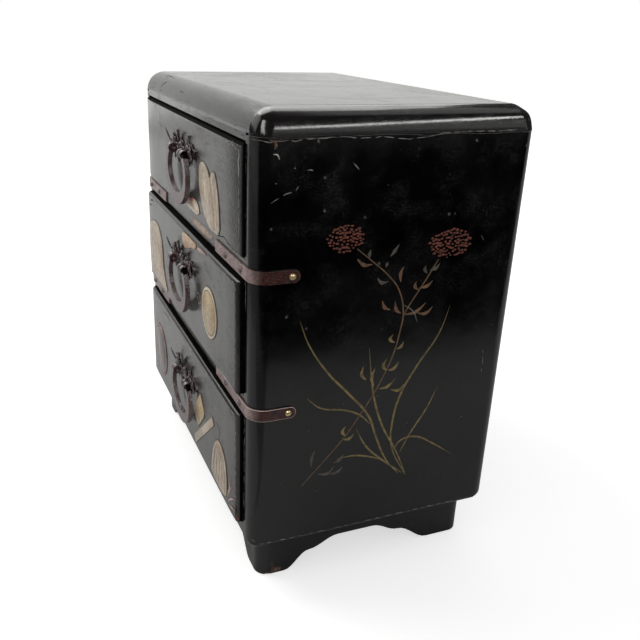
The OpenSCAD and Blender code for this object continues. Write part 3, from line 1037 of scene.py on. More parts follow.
    def chip(self, places: Sequence[tuple[Point, Point]], seed: int, material: int = 1) -> None:
        """Breaks ragged chips out of the mesh.

        Args:
            places: the middle and the three radii of each chip.
            seed: what the raggedness starts from.
            material: the index of the finish that the chips bare.
        """
        draw = random.Random(seed)
        tool = Work(*self.finishes)
        for centre, radii in places:
            for vert in tool.add_ball(centre, radii, 3, material=material):
                away = vert.co - Vector(centre)
                vert.co += away * (
                    0.28 * noise.noise(vert.co * 0.9 + Vector((seed, 0, 0))) + draw.uniform(-0.05, 0.05))
        self.carve(tool)
        tool.bm.free()

    def join(self, other: "Work") -> None:
        """Takes over the mesh of another work whose finishes are the same.

        Args:
            other: the work that is taken over.
        """
        mesh = bpy.data.meshes.new("passing")
        other.bm.to_mesh(mesh)
        self.bm.from_mesh(mesh)
        bpy.data.meshes.remove(mesh)
        other.bm.free()

    def piece(self, name: str, body: str, slot: str, replaces: Sequence[str] = (), sharp: float = 32.0,
              even: bool = True) -> bpy.types.Object:
        """Makes the finished piece and hangs it on its body.

        Args:
            name: the piece's name.
            body: the CAD body that it rides on.
            slot: the material slot that its finish stands for; not used.
            replaces: the CAD nodes that it stands for.
            sharp: edges over this angle, in degrees, stay sharp in shading.
            even: whether flat faces rule the shading next to rounded edges.

        Returns:
            The piece.
        """
        bmesh.ops.scale(self.bm, vec=Vector((MM,) * 3), verts=self.bm.verts)
        for face in self.bm.faces:
            face.smooth = True
        for edge in self.bm.edges:
            edge.smooth = len(edge.link_faces) == 2 and edge.calc_face_angle(0.0) < math.radians(sharp)
        mesh = bpy.data.meshes.new(name)
        self.bm.to_mesh(mesh)
        self.bm.free()
        for finish in self.finishes:
            mesh.materials.append(finish.material())
        made = linked(name, mesh)
        if even:
            normals = made.modifiers.new("even_normals", "WEIGHTED_NORMAL")
            normals.keep_sharp = True
        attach(made, body)
        if replaces:
            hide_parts(*replaces)
        LOG.info("%s rides on %s: %d faces", name, body, len(mesh.polygons))
        return made


@dataclass(frozen=True)
class Stroke:
    """One pull of a brush or burin: its points, its widest width and how its ends taper."""

    points: Sequence[Flat]
    width: float
    start: float = 0.2
    end: float = 0.2
    material: int = 0

    def share(self, t: float) -> float:
        """Gives the share of the full width at a share of the length.

        Args:
            t: the share of the length.

        Returns:
            The share of the width.
        """
        rise = self.start + (1 - self.start) * math.sin(math.pi / 2 * min(1.0, t / 0.45))
        fall = self.end + (1 - self.end) * math.sin(math.pi / 2 * min(1.0, (1 - t) / 0.45))
        return min(rise, fall)


def add_strokes(work: Work, strokes: Sequence[Stroke], plane: Plane, origin: Point, flatness: float,
                steps: int = 5, sunk: Callable[[float, float], float] | None = None) -> None:
    """Lays strokes on a face of the chest, as low rounded ridges that are half sunk in it.

    Args:
        work: what they are added to.
        strokes: the strokes, in millimetres in the plane.
        plane: the face.
        origin: where the drawing's zero lies.
        flatness: a ridge's height as a share of its half width.
        steps: points between two given ones.
        sunk: how far the face lies under its flat part at a point of the drawing.
    """
    for material in sorted({s.material for s in strokes}):
        curve = bpy.data.curves.new("strokes", "CURVE")
        curve.dimensions = "3D"
        curve.bevel_depth = 1.0
        curve.bevel_resolution = 1
        curve.resolution_u = steps
        curve.use_fill_caps = True
        for stroke in (s for s in strokes if s.material == material):
            spline = curve.splines.new("BEZIER")
            spline.bezier_points.add(len(stroke.points) - 1)
            last = len(stroke.points) - 1
            for i, (knot, (x, y)) in enumerate(zip(spline.bezier_points, stroke.points)):
                knot.co = (x, y, 0.0)
                knot.handle_left_type = knot.handle_right_type = "AUTO"
                knot.radius = stroke.width / 2 * stroke.share(i / last)
        drawn = linked("strokes", curve)
        graph = bpy.context.evaluated_depsgraph_get()
        mesh = bpy.data.meshes.new_from_object(drawn.evaluated_get(graph))
        mesh.transform(Matrix.Diagonal((1.0, 1.0, flatness)).to_4x4())
        if sunk:
            for vert in mesh.vertices:
                vert.co.z -= sunk(vert.co.x, vert.co.y)
        mesh.transform(plane.placed(origin))
        before = set(work.bm.faces)
        work.bm.from_mesh(mesh)
        for face in work.bm.faces:
            if face not in before:
                face.material_index = material
        bpy.data.objects.remove(drawn)
        bpy.data.curves.remove(curve)
        bpy.data.meshes.remove(mesh)


def node_box(node: str) -> tuple[Point, Point]:
    """Gives a CAD node's box in millimetres."""
    low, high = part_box(node)
    return tuple(v / MM for v in low), tuple(v / MM for v in high)


def lacquer(name: str, low: Point, high: Point, **changes: object) -> Lacquer:
    """Gives the lacquer of one board, worn along that board's own edges."""
    return Lacquer(f"lacquer_{name}", low, high, **changes)


def refinish(node: str, finish: Finish) -> None:
    """Gives a CAD node whose shape stays a better finish.

    Args:
        node: the CAD node.
        finish: its new finish.
    """
    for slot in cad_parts[node].material_slots:
        slot.link = "OBJECT"
        slot.material = finish.material()
    LOG.info("%s keeps its shape", node)


# The case


@dataclass(frozen=True)
class Case:
    """The lacquered case: a top lapped over two sides, a bottom, a back and two front rails."""

    half: float = 111.0
    front: float = -65.05
    back: float = 74.95
    foot: float = 26.0
    crown: float = 241.0
    lap: float = 229.0
    inner: float = 99.0
    tongue: float = 2.5
    bottom: float = 8.5
    upright: float = 8.0
    shoulder: float = 11.0
    base: float = 3.0
    base_back: float = 7.0
    sunk: float = 0.15
    rails: tuple[tuple[str, float, float], ...] = (("rail_lower", 98.4, 107.9), ("rail_upper", 166.0, 175.5))
    rail_depth: float = 20.0
    rail_ease: float = 0.7
    lip_cuts: int = 30
    lip_wobble: float = 0.7
    lip_edge: float = 0.4

    def top(self) -> None:
        """Builds the top board: well rounded, with a lip that time has made uneven."""
        low, high = (-self.half, self.front, self.lap), (self.half, self.back, self.crown)
        work = Work.box(
            low, high, lacquer("top", low, high, wear=0.0, rough=0.08, dust=0.06, wave=0.25, peel=0.055),
            BARED_WOOD, LIP)

        def radius(edge: BMEdge) -> float:
            """Gives the radius of one edge.

            Args:
                edge: the edge.

            Returns:
                The radius.
            """
            a, b = (v.co for v in edge.verts)
            if abs(a.z - b.z) > 1:
                return self.upright
            return self.shoulder if a.z > self.lap + 1 else 0.0

        work.round_edges(radius, segments=10)
        under = max((f for f in work.bm.faces if f.normal.z < -0.9), key=BMFace.calc_area)
        geom = [under, *under.edges, *under.verts]
        for x in (-self.inner, self.inner):
            geom = bmesh.ops.bisect_plane(
                work.bm, geom=geom, dist=0.001, plane_co=(x, 0, 0), plane_no=(1, 0, 0))["geom"]
        middle = [f for f in work.bm.faces if f.normal.z < -0.9 and abs(f.calc_center_median().x) < 20]
        grown = bmesh.ops.extrude_face_region(work.bm, geom=middle)["geom"]
        bmesh.ops.translate(
            work.bm, verts=[g for g in grown if isinstance(g, BMVert)], vec=Vector((0, 0, -self.tongue)))
        lips = [e for e in work.bm.edges if all(
            abs(v.co.z - self.lap) < 0.01 and abs(abs(v.co.x) - self.half) < 0.01 for v in e.verts)]
        cut = bmesh.ops.subdivide_edges(work.bm, edges=lips, cuts=self.lip_cuts)["geom_inner"]
        for vert in (g for g in cut if isinstance(g, BMVert)):
            vert.co.z += self.lip_wobble * noise.noise(Vector((vert.co.x * 0.3, vert.co.y * 0.09, 2.0)))
        work.bevel(
            lambda e: e.calc_face_angle(0.0) > 1.2 and all(
                abs(v.co.z - self.lap) < 1.0 and (abs(v.co.x) > self.inner + 0.5) for v in e.verts),
            radius=self.lip_edge, segments=2, material=2)
        work.piece("top_board", "case", "black_lacquer", ["case_top"])

    def side(self, side: Side) -> None:
        """Builds one side board.

        Args:
            side: which side.
        """
        outer = self.half - self.sunk
        ends = sorted((side.value * self.inner, side.value * outer))
        low, high = (ends[0], self.front, self.foot), (ends[1], self.back, self.lap + 1.5)
        word = side.name.lower()
        work = Work.box(
            low, high,
            lacquer(
                f"side_{word}", low, (ends[1], self.back, self.lap + 40), edge=4.0, wear=0.08, rough=0.14,
                dust=0.0, wave=0.3, depth=BLACK, warm=WARM_BLACK),
            BARED_WOOD)

        def radius(edge: BMEdge) -> float:
            """Gives the radius of one edge.

            Args:
                edge: the edge.

            Returns:
                The radius.
            """
            a, b = (v.co for v in edge.verts)
            middle = (a + b) / 2
            outside = abs(middle.x) > outer - 0.1
            if abs(a.z - b.z) > 1:
                return self.upright if outside else 0.0
            if middle.z > self.foot + 1:
                return 0.0
            if middle.y > self.back - 0.1:
                return self.base_back
            return self.base if outside or middle.y < self.front + 0.1 else 0.0

        work.round_edges(radius, segments=8)
        work.piece(f"side_board_{word}", "case", "black_lacquer", [f"case_side_{word}"])

    def between(self) -> None:
        """Builds the bottom board and the rails, and refinishes the back panel."""
        low, high = (-self.inner, self.front, self.foot), (self.inner, self.back, self.foot + self.bottom)
        work = Work.box(low, high, lacquer(
            "bottom", (-FAR, *low[1:]), (FAR, *high[1:]), edge=3.0, wear=0.12, rough=0.16))

        def radius(edge: BMEdge) -> float:
            """Gives the radius of one edge.

            Args:
                edge: the edge.

            Returns:
                The radius.
            """
            a, b = (v.co for v in edge.verts)
            if abs(a.x - b.x) < 1 or a.z > self.foot + 1:
                return 0.0
            return self.base_back if a.y > 0 else self.base

        work.round_edges(radius, segments=8)
        work.piece("bottom_board", "case", "black_lacquer", ["case_bottom"])
        for node, bottom, top in self.rails:
            low = (-self.inner, self.front, bottom)
            high = (self.inner, self.front + self.rail_depth, top)
            work = Work.box(low, high, lacquer(
                node, (-FAR, *low[1:]), (FAR, *high[1:]), edge=1.6, wear=0.12, rough=0.14,
                depth=GREY_BLACK, warm=WARM_GREY))
            work.bevel(lambda e: abs(e.verts[0].co.x - e.verts[1].co.x) > 1, self.rail_ease, 3)
            work.piece(f"{node}_board", "case", "black_lacquer", [node])
        refinish(
            "case_back", lacquer("back", *node_box("case_back"), edge=2.0, wear=0.2, rough=0.35, dust=0.0))
        for level in ("upper", "lower"):
            for side in ("left", "right"):
                refinish(f"runner_{level}_{side}", DRAWER_WOOD_LONG)

    def build(self) -> None:
        """Builds the whole case."""
        self.top()
        for side in Side:
            self.side(side)
        self.between()


@dataclass(frozen=True)
class Plinth:
    """The scalloped plinth: four apron boards and their glue blocks."""

    ease: float = 0.8
    chips: Blobs = (((101.4, -47.5, 2.4), (1.6, 3.6, 2.0)), ((101.8, -52.5, 0.6), (1.2, 2.2, 1.0)))
    chip_seed: int = 8

    def build(self) -> None:
        """Builds the four aprons with eased edges and refinishes the blocks."""
        for word in ("front", "back", "left", "right"):
            node = f"plinth_{word}"
            low, high = node_box(node)
            work = Work.from_node(
                node, lacquer(node, low, high, edge=2.0, wear=0.12, rough=0.26, dust=0.0), BARED_WOOD)
            inner = min(low[1], high[1], key=abs)

            def rounded(edge: BMEdge) -> bool:
                """Tells whether an edge is rounded: the joints between the aprons stay tight.

                Args:
                    edge: the edge.

                Returns:
                    Whether it is rounded.
                """
                a, b = (v.co for v in edge.verts)
                upright = (a.xy - b.xy).length < 0.01
                joint = upright and (word in ("left", "right") or abs(a.y - inner) < 0.01)
                return edge.calc_face_angle(0.0) > math.radians(40) and not joint

            work.bevel(rounded, radius=self.ease, segments=3)
            if word in ("front", "right"):
                work.chip(self.chips, self.chip_seed)
            work.piece(f"apron_{word}", "case", "black_lacquer", [node])
        refinish("plinth_blocks", BLOCK_WOOD)


@dataclass(frozen=True)
class Straps:
    """The sheet copper straps at the ends of the rails, with bright rims and round headed pins."""

    levels: tuple[tuple[str, float], ...] = (("lower", 101.95), ("upper", 169.55))
    front: float = -65.95
    side_pin_y: float = -47.25
    side_pin_x: float = 111.9
    pins: tuple[float, float] = (95.5, 72.5)
    pin: Point = (1.6, 1.6, 1.1)
    rim: float = 0.44

    def strap(self, word: str, side: Side) -> None:
        """Eases one strap's edges and gives its rim a pale finish: bared copper with a painted highlight.

        Args:
            word: the strap's level.
            side: which side.
        """
        node = f"strap_{word}_{side.name.lower()}"
        work = Work.from_node(node, STRAP_METAL, RIM_METAL)
        rim = [e for e in work.bm.edges if e.calc_face_angle(0.0) > math.radians(50)]
        made = bmesh.ops.bevel(
            work.bm, geom=rim, offset=self.rim, offset_type="OFFSET", affect="EDGES", segments=2,
            profile=0.5, material=1, clamp_overlap=True)
        LOG.info("%s has a rim of %d faces", node, len(made["faces"]))
        work.piece(f"{node}_sheet", "case", "copper_strap", [node])

    def heads(self) -> None:
        """Builds the twelve pins: brass on the sides, and on the front a darker copy of the brass that
        paints their shade.
        """
        work = Work(PIN_METAL, SHADED_PIN_METAL)
        wide, _, high = self.pin
        for _, z in self.levels:
            for side in Side:
                x = side.value * self.side_pin_x
                work.add_ball((x, self.side_pin_y, z), (high, wide, wide), 3)
                # The front pins take the darker copy of the brass: painted shade.
                for pin in self.pins:
                    work.add_ball((side.value * pin, self.front, z), (wide, high, wide), 3, material=1)
        work.piece("pin_heads", "case", "pin_brass", ["strap_pins"])

    def build(self) -> None:
        """Builds the four straps and their pins."""
        for word, _ in self.levels:
            for side in Side:
                self.strap(word, side)
        self.heads()


# The drawers


@dataclass(frozen=True)
class Drawer:
    """A drawer: its lacquered front, its plain wooden box and the cloth on its floor."""

    level: Level
    chips: Blobs = ()
    half: float = 98.2
    thick: float = 13.0
    edge: float = 0.7
    end_edge: float = 2.6
    edge_depth: float = 6.0
    top_edge: float = 2.2
    pillow: float = 16.0
    pillow_steps: int = 6
    pillow_drop: float = 0.4
    floor_top: float = 6.0
    back_edge: float = 0.6
    board_edge: float = 0.6
    cloth: float = 0.6
    cloth_gap: float = 0.3
    cloth_swell: float = 0.9
    cloth_held: float = 12.0
    cloth_half: float = 91.7
    cloth_from: float = 13.5
    cloth_to: float = 129.6

    def front(self) -> None:
        """Builds the front, with rounded edges and knocked corners."""
        level = self.level
        low = (-self.half, level.face, level.low)
        high = (self.half, level.face + self.thick, level.low + level.height)
        work = Work.box(low, high, lacquer(
            f"{level.word}_front", low, high, edge=2.2, wear=0.0, rough=0.07, wave=0.5, peel=0.14,
            depth=GREY_BLACK, warm=WARM_GREY), BARED_WOOD, PAINTED_SHADE)

        def radius(edge: BMEdge) -> float:
            """Gives the radius of one edge.

            Args:
                edge: the edge.

            Returns:
                The radius.
            """
            a, b = (v.co for v in edge.verts)
            if max(a.y, b.y) > level.face + 1:
                return self.back_edge
            if abs(a.z - b.z) > 1:
                return self.end_edge
            return self.edge if a.z < level.low + 1 else self.top_edge

        work.round_edges(radius, segments=5)
        for i in range(1, self.pillow_steps + 1):
            for x in (-self.half, self.half):
                at = math.copysign(abs(x) - self.pillow * i / self.pillow_steps, x)
                bmesh.ops.bisect_plane(
                    work.bm, geom=[*work.bm.faces, *work.bm.edges, *work.bm.verts], dist=0.0001,
                    plane_co=(at, 0, 0), plane_no=(1, 0, 0))
        for vert in work.bm.verts:
            out = max(0.0, abs(vert.co.x) - self.half + self.pillow) / self.pillow
            front_share = max(0.0, 1 - (vert.co.y - level.face) / self.edge_depth)
            vert.co.y += self.pillow_drop * out * out * front_share
        # Faces that turn away from the front, and on the upper drawer the faces that look up under the top's
        # lip, take the near-black matt paint: painted shade.
        for face in work.bm.faces:
            shaded = level is Level.UPPER and face.normal.z > 0.3
            if face.normal.y > -0.35 or shaded:
                face.material_index = 2
        if self.chips:
            work.chip([((x, level.face + y, level.low + z), radii) for (x, y, z), radii in self.chips], 5)
        work.piece(
            f"{level.word}_front_board", level.drawer, "black_lacquer", [f"{level.word}_drawer_front"])

    def box(self) -> None:
        """Eases the sides and the back of the drawer's box and refinishes its floor."""
        for part, wood in (("side_left", DRAWER_WOOD_LONG), ("side_right", DRAWER_WOOD_LONG),
                           ("back", DRAWER_WOOD_WIDE)):
            node = f"{self.level.word}_drawer_{part}"
            work = Work.from_node(node, wood)
            work.ease(self.board_edge, 2)
            work.piece(f"{node}_board", self.level.drawer, "bare_wood", [node])
        refinish(f"{self.level.word}_drawer_floor", DRAWER_WOOD_WIDE)

    def lining(self) -> None:
        """Lays the cloth on the drawer's floor, a little uneven where the glue has let go."""
        level = self.level
        low = (-self.cloth_half, level.face + self.cloth_from)
        high = (self.cloth_half, level.face + self.cloth_to)
        bottom = level.low + self.floor_top
        work = Work(LINING)
        size = (high[0] - low[0], high[1] - low[1])
        matrix = Matrix.Translation(
            ((low[0] + high[0]) / 2, (low[1] + high[1]) / 2, bottom + self.cloth_gap))
        made = bmesh.ops.create_grid(
            work.bm, x_segments=48, y_segments=32, size=0.5,
            matrix=matrix @ Matrix.Diagonal((size[0], size[1], 1.0)).to_4x4())["verts"]
        for vert in made:
            inside = min(vert.co.x - low[0], high[0] - vert.co.x, vert.co.y - low[1], high[1] - vert.co.y)
            swell = noise.noise(vert.co * 0.045 + Vector((level.low, 0, 0)))
            vert.co.z += max(0.0, swell) * self.cloth_swell * min(1.0, inside / self.cloth_held)
        piece = work.piece(
            f"{level.word}_cloth", level.drawer, "lining_cloth", [f"{level.word}_drawer_lining"],
            even=False)
        thick = piece.modifiers.new("thickness", "SOLIDIFY")
        thick.thickness = self.cloth * MM
        thick.offset = 1.0

    def build(self) -> None:
        """Builds the drawer without its overlays and its pull."""
        self.front()
        self.box()
        self.lining()


@dataclass(frozen=True)
class Pull:
    """A swinging ring pull: a leafy plate, two eye posts and the crescent ring."""

    level: Level
    forward: float = 3.5
    knuckle: float = 13.7
    eye: float = 10.5
    rolled: float = 2.05
    rolled_half: Flat = (1.75, 0.5)
    hole: float = 1.8
    ring_ease: float = 0.75
    plate_ease: float = 0.2
    post_ease: float = 0.35
    leaves: tuple[tuple[Flat, Flat, float, float], ...] = (
        ((-22.0, 0.5), (-23.4, 9.6), 3.4, 3.6), ((16.5, 1.0), (22.0, 3.4), 5.4, 0.9),
        ((17.0, 0.2), (23.5, -1.4), 4.4, 0.8), ((-17.0, 0.6), (-23.5, 2.2), 4.6, 0.8),
        ((-13.0, -1.5), (-12.6, -6.2), 3.6, 0.7), ((13.0, -1.5), (12.6, -6.2), 3.6, 0.7))
    curls: Blobs = (
        ((-9.6, 2.2, 5.2), (1.9, 1.3, 2.2)), ((-8.6, 2.9, 7.6), (1.3, 0.8, 1.3)),
        ((-9.4, 1.4, 2.6), (2.4, 1.4, 1.6)), ((6.4, 1.9, 5.0), (1.9, 1.2, 2.4)),
        ((7.2, 2.5, 7.8), (1.2, 0.8, 1.4)), ((7.0, 1.2, 2.4), (2.6, 1.4, 1.6)),
        ((14.6, 1.3, 3.2), (1.9, 1.2, 1.9)), ((18.4, 1.2, 1.2), (2.2, 1.2, 1.8)),
        ((-16.4, 1.1, 3.0), (1.8, 1.0, 1.8)), ((-2.4, 1.1, 2.8), (2.0, 1.1, 1.6)),
        ((2.4, 1.0, 1.6), (1.8, 1.0, 1.8)), ((10.6, 1.0, 4.6), (1.6, 0.9, 1.6)))

    @property
    def axis(self) -> Flat:
        """The Y and Z of the line that the ring swings about."""
        return self.level.face - self.forward, self.level.low + self.level.pull

    def leaf(self, work: Work, root: Flat, tip: Flat, width: float, lift: float) -> None:
        """Adds a raised leaf that narrows to its tip and curls off the plate.

        Args:
            work: the plate.
            root: where it grows from, across and up from the middle of the pull's axis.
            tip: its tip, in the same way.
            width: its widest width.
            lift: how far its tip stands off.
        """
        base_y = self.level.face - 0.75
        start = Vector((root[0], base_y, self.axis[1] + root[1]))
        along = Vector((tip[0] - root[0], 0.0, tip[1] - root[1]))
        length = along.length
        across = Vector((along.z, 0.0, -along.x)) / length
        for vert in work.add_ball((0, 0, 0), (1, 1, 1), 3):
            t = (vert.co.z + 1) / 2
            narrow = math.sin(math.pi * min(1.0, 0.25 + 0.72 * t)) ** 0.6 + 0.04
            vein = 1 - 0.35 * math.exp(-(vert.co.x / 0.16) ** 2)
            off = -0.55 * vert.co.y * vein + lift * t ** 0.7
            vert.co = start + along * t + across * vert.co.x * width / 2 * narrow - Vector((0, off, 0))

    def plate(self) -> None:
        """Builds the leafy plate with its raised leaves."""
        node = f"{self.level.word}_pull_plate"
        work = Work.from_node(node, PLATE_METAL)
        work.ease(self.plate_ease, 2)
        for root, tip, width, lift in self.leaves:
            self.leaf(work, root, tip, width, lift)
        for x in (-self.eye, self.eye):
            work.add_ball((x, self.level.face - 0.9, self.axis[1]), (3.0, 1.3, 3.0), 3)
        for (x, out, z), radii in self.curls:
            work.add_ball((x, self.level.face - out, self.axis[1] + z), radii, 2)
        work.add_ball((0, self.level.face - 0.8, self.axis[1] + 0.6), (2.6, 1.0, 2.2), 3)
        work.piece(f"{node}_leaves", self.level.drawer, "pull_bronze", [node])

    def posts(self) -> None:
        """Builds the two eye posts."""
        node = f"{self.level.word}_pull_posts"
        work = Work.from_node(node, PLATE_METAL)
        work.ease(self.post_ease, 2)
        work.piece(f"{node}_eyes", self.level.drawer, "pull_bronze", [node])

    def ring(self) -> None:
        """Builds the crescent ring, whose ends are rolled round their pins."""
        node = f"{self.level.word}_pull_bail"
        work = Work.from_node(node, RING_METAL, PAINTED_SHADE)
        work.ease(self.ring_ease, 3)
        y, z = self.axis
        # Inside each rolled end, the faces round the pin take the near-black matt paint: painted shade in
        # the hole.
        for face in work.bm.faces:
            middle = face.calc_center_median()
            if abs(middle.x) > self.knuckle + 1.4 and (middle.yz - Vector((y, z))).length < self.hole:
                face.material_index = 1
        for x in (-self.knuckle, self.knuckle):
            work.add_ring((x, y, z), (1, 0, 0), self.rolled, self.rolled_half, sides=12, steps=32)
        work.piece(f"{self.level.word}_ring", self.level.ring, "pull_bronze", [node])

    def build(self) -> None:
        """Builds the whole pull."""
        self.plate()
        self.posts()
        self.ring()


# The inlaid and painted figures


CREAM = Stone("stone_cream", (0.6, 0.5, 0.38), (0.4, 0.32, 0.23), dirt=0.6, rough=0.28)
GOLD = Stone("stone_gold", (0.56, 0.42, 0.23), (0.4, 0.28, 0.14), dirt=0.6, rough=0.26)
RIM_GOLD = Stone("stone_pale_rim", (0.74, 0.64, 0.46), (0.55, 0.44, 0.3), dirt=0.4, rough=0.3)
TAN = Stone("stone_tan", (0.62, 0.42, 0.24), (0.46, 0.3, 0.17), dirt=0.5, rough=0.3)
PINK = Stone("stone_pink", (0.5, 0.34, 0.28), (0.36, 0.22, 0.18), dirt=0.5, rough=0.3)
RED = Stone("stone_red", (0.55, 0.07, 0.03), (0.42, 0.06, 0.03), dirt=0.2, rough=0.3)
GREY = Stone("stone_grey", (0.085, 0.072, 0.07), (0.05, 0.042, 0.042), dirt=0.4, rough=0.16)
DARK = Stone("stone_dark", (0.006, 0.005, 0.005), (0.012, 0.008, 0.007), dirt=0.2, rough=0.5)
STONES = (CREAM, GOLD, RIM_GOLD, TAN, PINK, RED, GREY, DARK)


class Tone(IntEnum):
    """The tints of the carved overlays, by their place in STONES."""

    CREAM = 0
    GOLD = 1
    RIM = 2
    TAN = 3
    PINK = 4
    RED = 5
    GREY = 6
    DARK = 7


@dataclass(frozen=True)
class Overlays:
    """The thin carved figures on one drawer front."""

    level: Level
    thick: float = 0.45
    outline: float = 0.4

    def shape(self, work: Work, outline: Sequence[Flat], tone: Tone, thick: float | None = None,
              ease: float = 0.12) -> None:
        """Adds a figure with eased edges and a dark line round it, which is a painted shadow.

        Args:
            work: what it is added to.
            outline: the points of the outline.
            tone: its tint.
            thick: how far it stands out, if not the usual.
            ease: the radius of its edges.
        """
        # A slightly larger, thinner dark slab under the figure shows as a dark line round it: a painted
        # shadow.
        shadow_line = Work(*STONES)
        shadow_line.add_slab(grown(outline, self.outline), Plane.FRONT, (0, self.level.face, self.level.low),
                      self.thick * 0.3, Tone.DARK)
        work.join(shadow_line)
        part = Work(*STONES)
        part.add_slab(outline, Plane.FRONT, (0, self.level.face, self.level.low),
                      self.thick if thick is None else thick, tone)
        part.bevel(lambda e: e.calc_face_angle(0.0) > 0.9 and any(
            v.co.y < self.level.face - 0.2 for v in e.verts), radius=ease, segments=2)
        work.join(part)

    def lines(self, work: Work, strokes: Sequence[Stroke], out: float | None = None,
              flatness: float = 0.5) -> None:
        """Adds raised lines on the figures."""
        face = self.level.face - (self.thick * 0.97 if out is None else out)
        add_strokes(work, strokes, Plane.FRONT, (0, face, self.level.low), flatness=flatness)

    def finish(self, work: Work) -> None:
        """Makes the drawer's overlays one piece."""
        work.piece(f"{self.level.word}_carved_overlays", self.level.drawer, "carved_stone",
                   [f"{self.level.word}_drawer_overlays"], even=False)


def disc(centre: Flat, radius: float, points: int = 40, wobble: float = 0.0) -> list[Flat]:
    """Gives a round outline, a little uneven if asked.

    Args:
        centre: its middle.
        radius: the radius.
        points: how many points it has.
        wobble: how uneven it is.

    Returns:
        The outline.
    """
    made = []
    for i in range(points):
        a = math.tau * i / points
        r = radius * (1 + wobble * noise.noise(Vector((math.cos(a) * 2, math.sin(a) * 2, centre[0]))))
        made.append((centre[0] + r * math.cos(a), centre[1] + r * math.sin(a)))
    return made


def turned_box(centre: Flat, size: Flat, degrees: float) -> list[Flat]:
    """Gives a turned rectangle's outline.

    Args:
        centre: its middle.
        size: its width and height.
        degrees: how far it is turned.

    Returns:
        The outline.
    """
    a = math.radians(degrees)
    corners = ((-0.5, -0.5), (0.5, -0.5), (0.5, 0.5), (-0.5, 0.5))
    return [(centre[0] + x * size[0] * math.cos(a) - y * size[1] * math.sin(a),
             centre[1] + x * size[0] * math.sin(a) + y * size[1] * math.cos(a)) for x, y in corners]


def smooth(outline: Sequence[Flat], rounds: int = 2) -> list[Flat]:
    """Rounds an outline by cutting its corners.

    Args:
        outline: the points of the outline.
        rounds: how often it is refined.

    Returns:
        The rounded outline.
    """
    points = list(outline)
    for _ in range(rounds):
        nearer = []
        for (x0, y0), (x1, y1) in zip(points, points[1:] + points[:1]):
            nearer += [(0.75 * x0 + 0.25 * x1, 0.75 * y0 + 0.25 * y1),
                       (0.25 * x0 + 0.75 * x1, 0.25 * y0 + 0.75 * y1)]
        points = nearer
    return points


def grown(outline: Sequence[Flat], by: float) -> list[Flat]:
    """Moves an outline's points away from its middle.

    Args:
        outline: the points of the outline.
        by: how far they move.

    Returns:
        The outline, moved.
    """
    middle = (sum(x for x, _ in outline) / len(outline), sum(y for _, y in outline) / len(outline))
    made = []
    for x, y in outline:
        reach = math.hypot(x - middle[0], y - middle[1])
        share = 1 + by / max(reach, by)
        made.append((middle[0] + (x - middle[0]) * share, middle[1] + (y - middle[1]) * share))
    return made


def wound(outline: Sequence[Flat]) -> list[Flat]:
    """Gives an outline that runs counterclockwise."""
    area = sum(x0 * y1 - x1 * y0 for (x0, y0), (x1, y1) in zip(outline, [*outline[1:], outline[0]]))
    return list(outline) if area > 0 else list(reversed(outline))


@dataclass(frozen=True)
class UpperOverlays(Overlays):
    """A fold of cloth in two slim lobes and a low sleeve with a red spot."""

    level: Level = Level.UPPER
    lobe: Line = (
        (33, 26.2), (35.1, 30.5), (39.9, 32.3), (46.8, 30.9), (53, 26.3), (57.3, 19.2), (60.6, 10.2),
        (61.4, 1.4), (54, 1.4), (46, 3.6), (38.8, 10.1), (33.5, 18.2))
    second_lobe: Line = (
        (54.4, 28.6), (57.5, 30.4), (61, 30.2), (64.4, 25.4), (67.6, 16.6), (69.2, 1.6), (58, 1.4),
        (55, 10), (53, 19.2), (53, 25.4))
    sleeve: Line = ((3.3, 3), (7, 6.2), (12.4, 8.6), (25, 9.8), (30.9, 7.8), (32.6, 2.8), (18, 2.4))
    spot: Line = ((10.2, 6.9), (14.6, 8.9), (20.9, 9.8), (19.7, 7.4), (14.4, 5.9))

    def build(self) -> None:
        """Builds the figures."""
        work = Work(*STONES)
        self.shape(work, wound(smooth(self.second_lobe, 1)), Tone.CREAM)
        self.shape(work, wound(smooth(self.lobe, 1)), Tone.CREAM, thick=self.thick + 0.12)
        self.shape(work, wound(smooth(self.sleeve, 1)), Tone.RIM)
        self.shape(work, wound(smooth(self.spot, 1)), Tone.RED, thick=self.thick + 0.05, ease=0.1)
        folds = (((36, 27), (40, 17), (49, 5)), ((45, 30), (51, 18), (57, 3)), ((59, 28), (63, 17), (65, 3)),
                 ((6, 4.2), (16, 5.4), (30, 3.8)))
        self.lines(
            work, [Stroke(points, 1.5, material=Tone.PINK) for points in folds], out=self.thick + 0.1,
            flatness=0.2)
        pale = (
            ((37, 29), (39, 22), (43, 17)), ((41, 28), (44, 21), (48, 15)),
            ((40, 20), (44, 18.6), (48, 19.6)), ((49, 9), (52, 7), (55, 6)))
        self.lines(
            work, [Stroke(points, 2.2, material=Tone.RIM) for points in pale], out=self.thick + 0.08,
            flatness=0.16)
        self.finish(work)


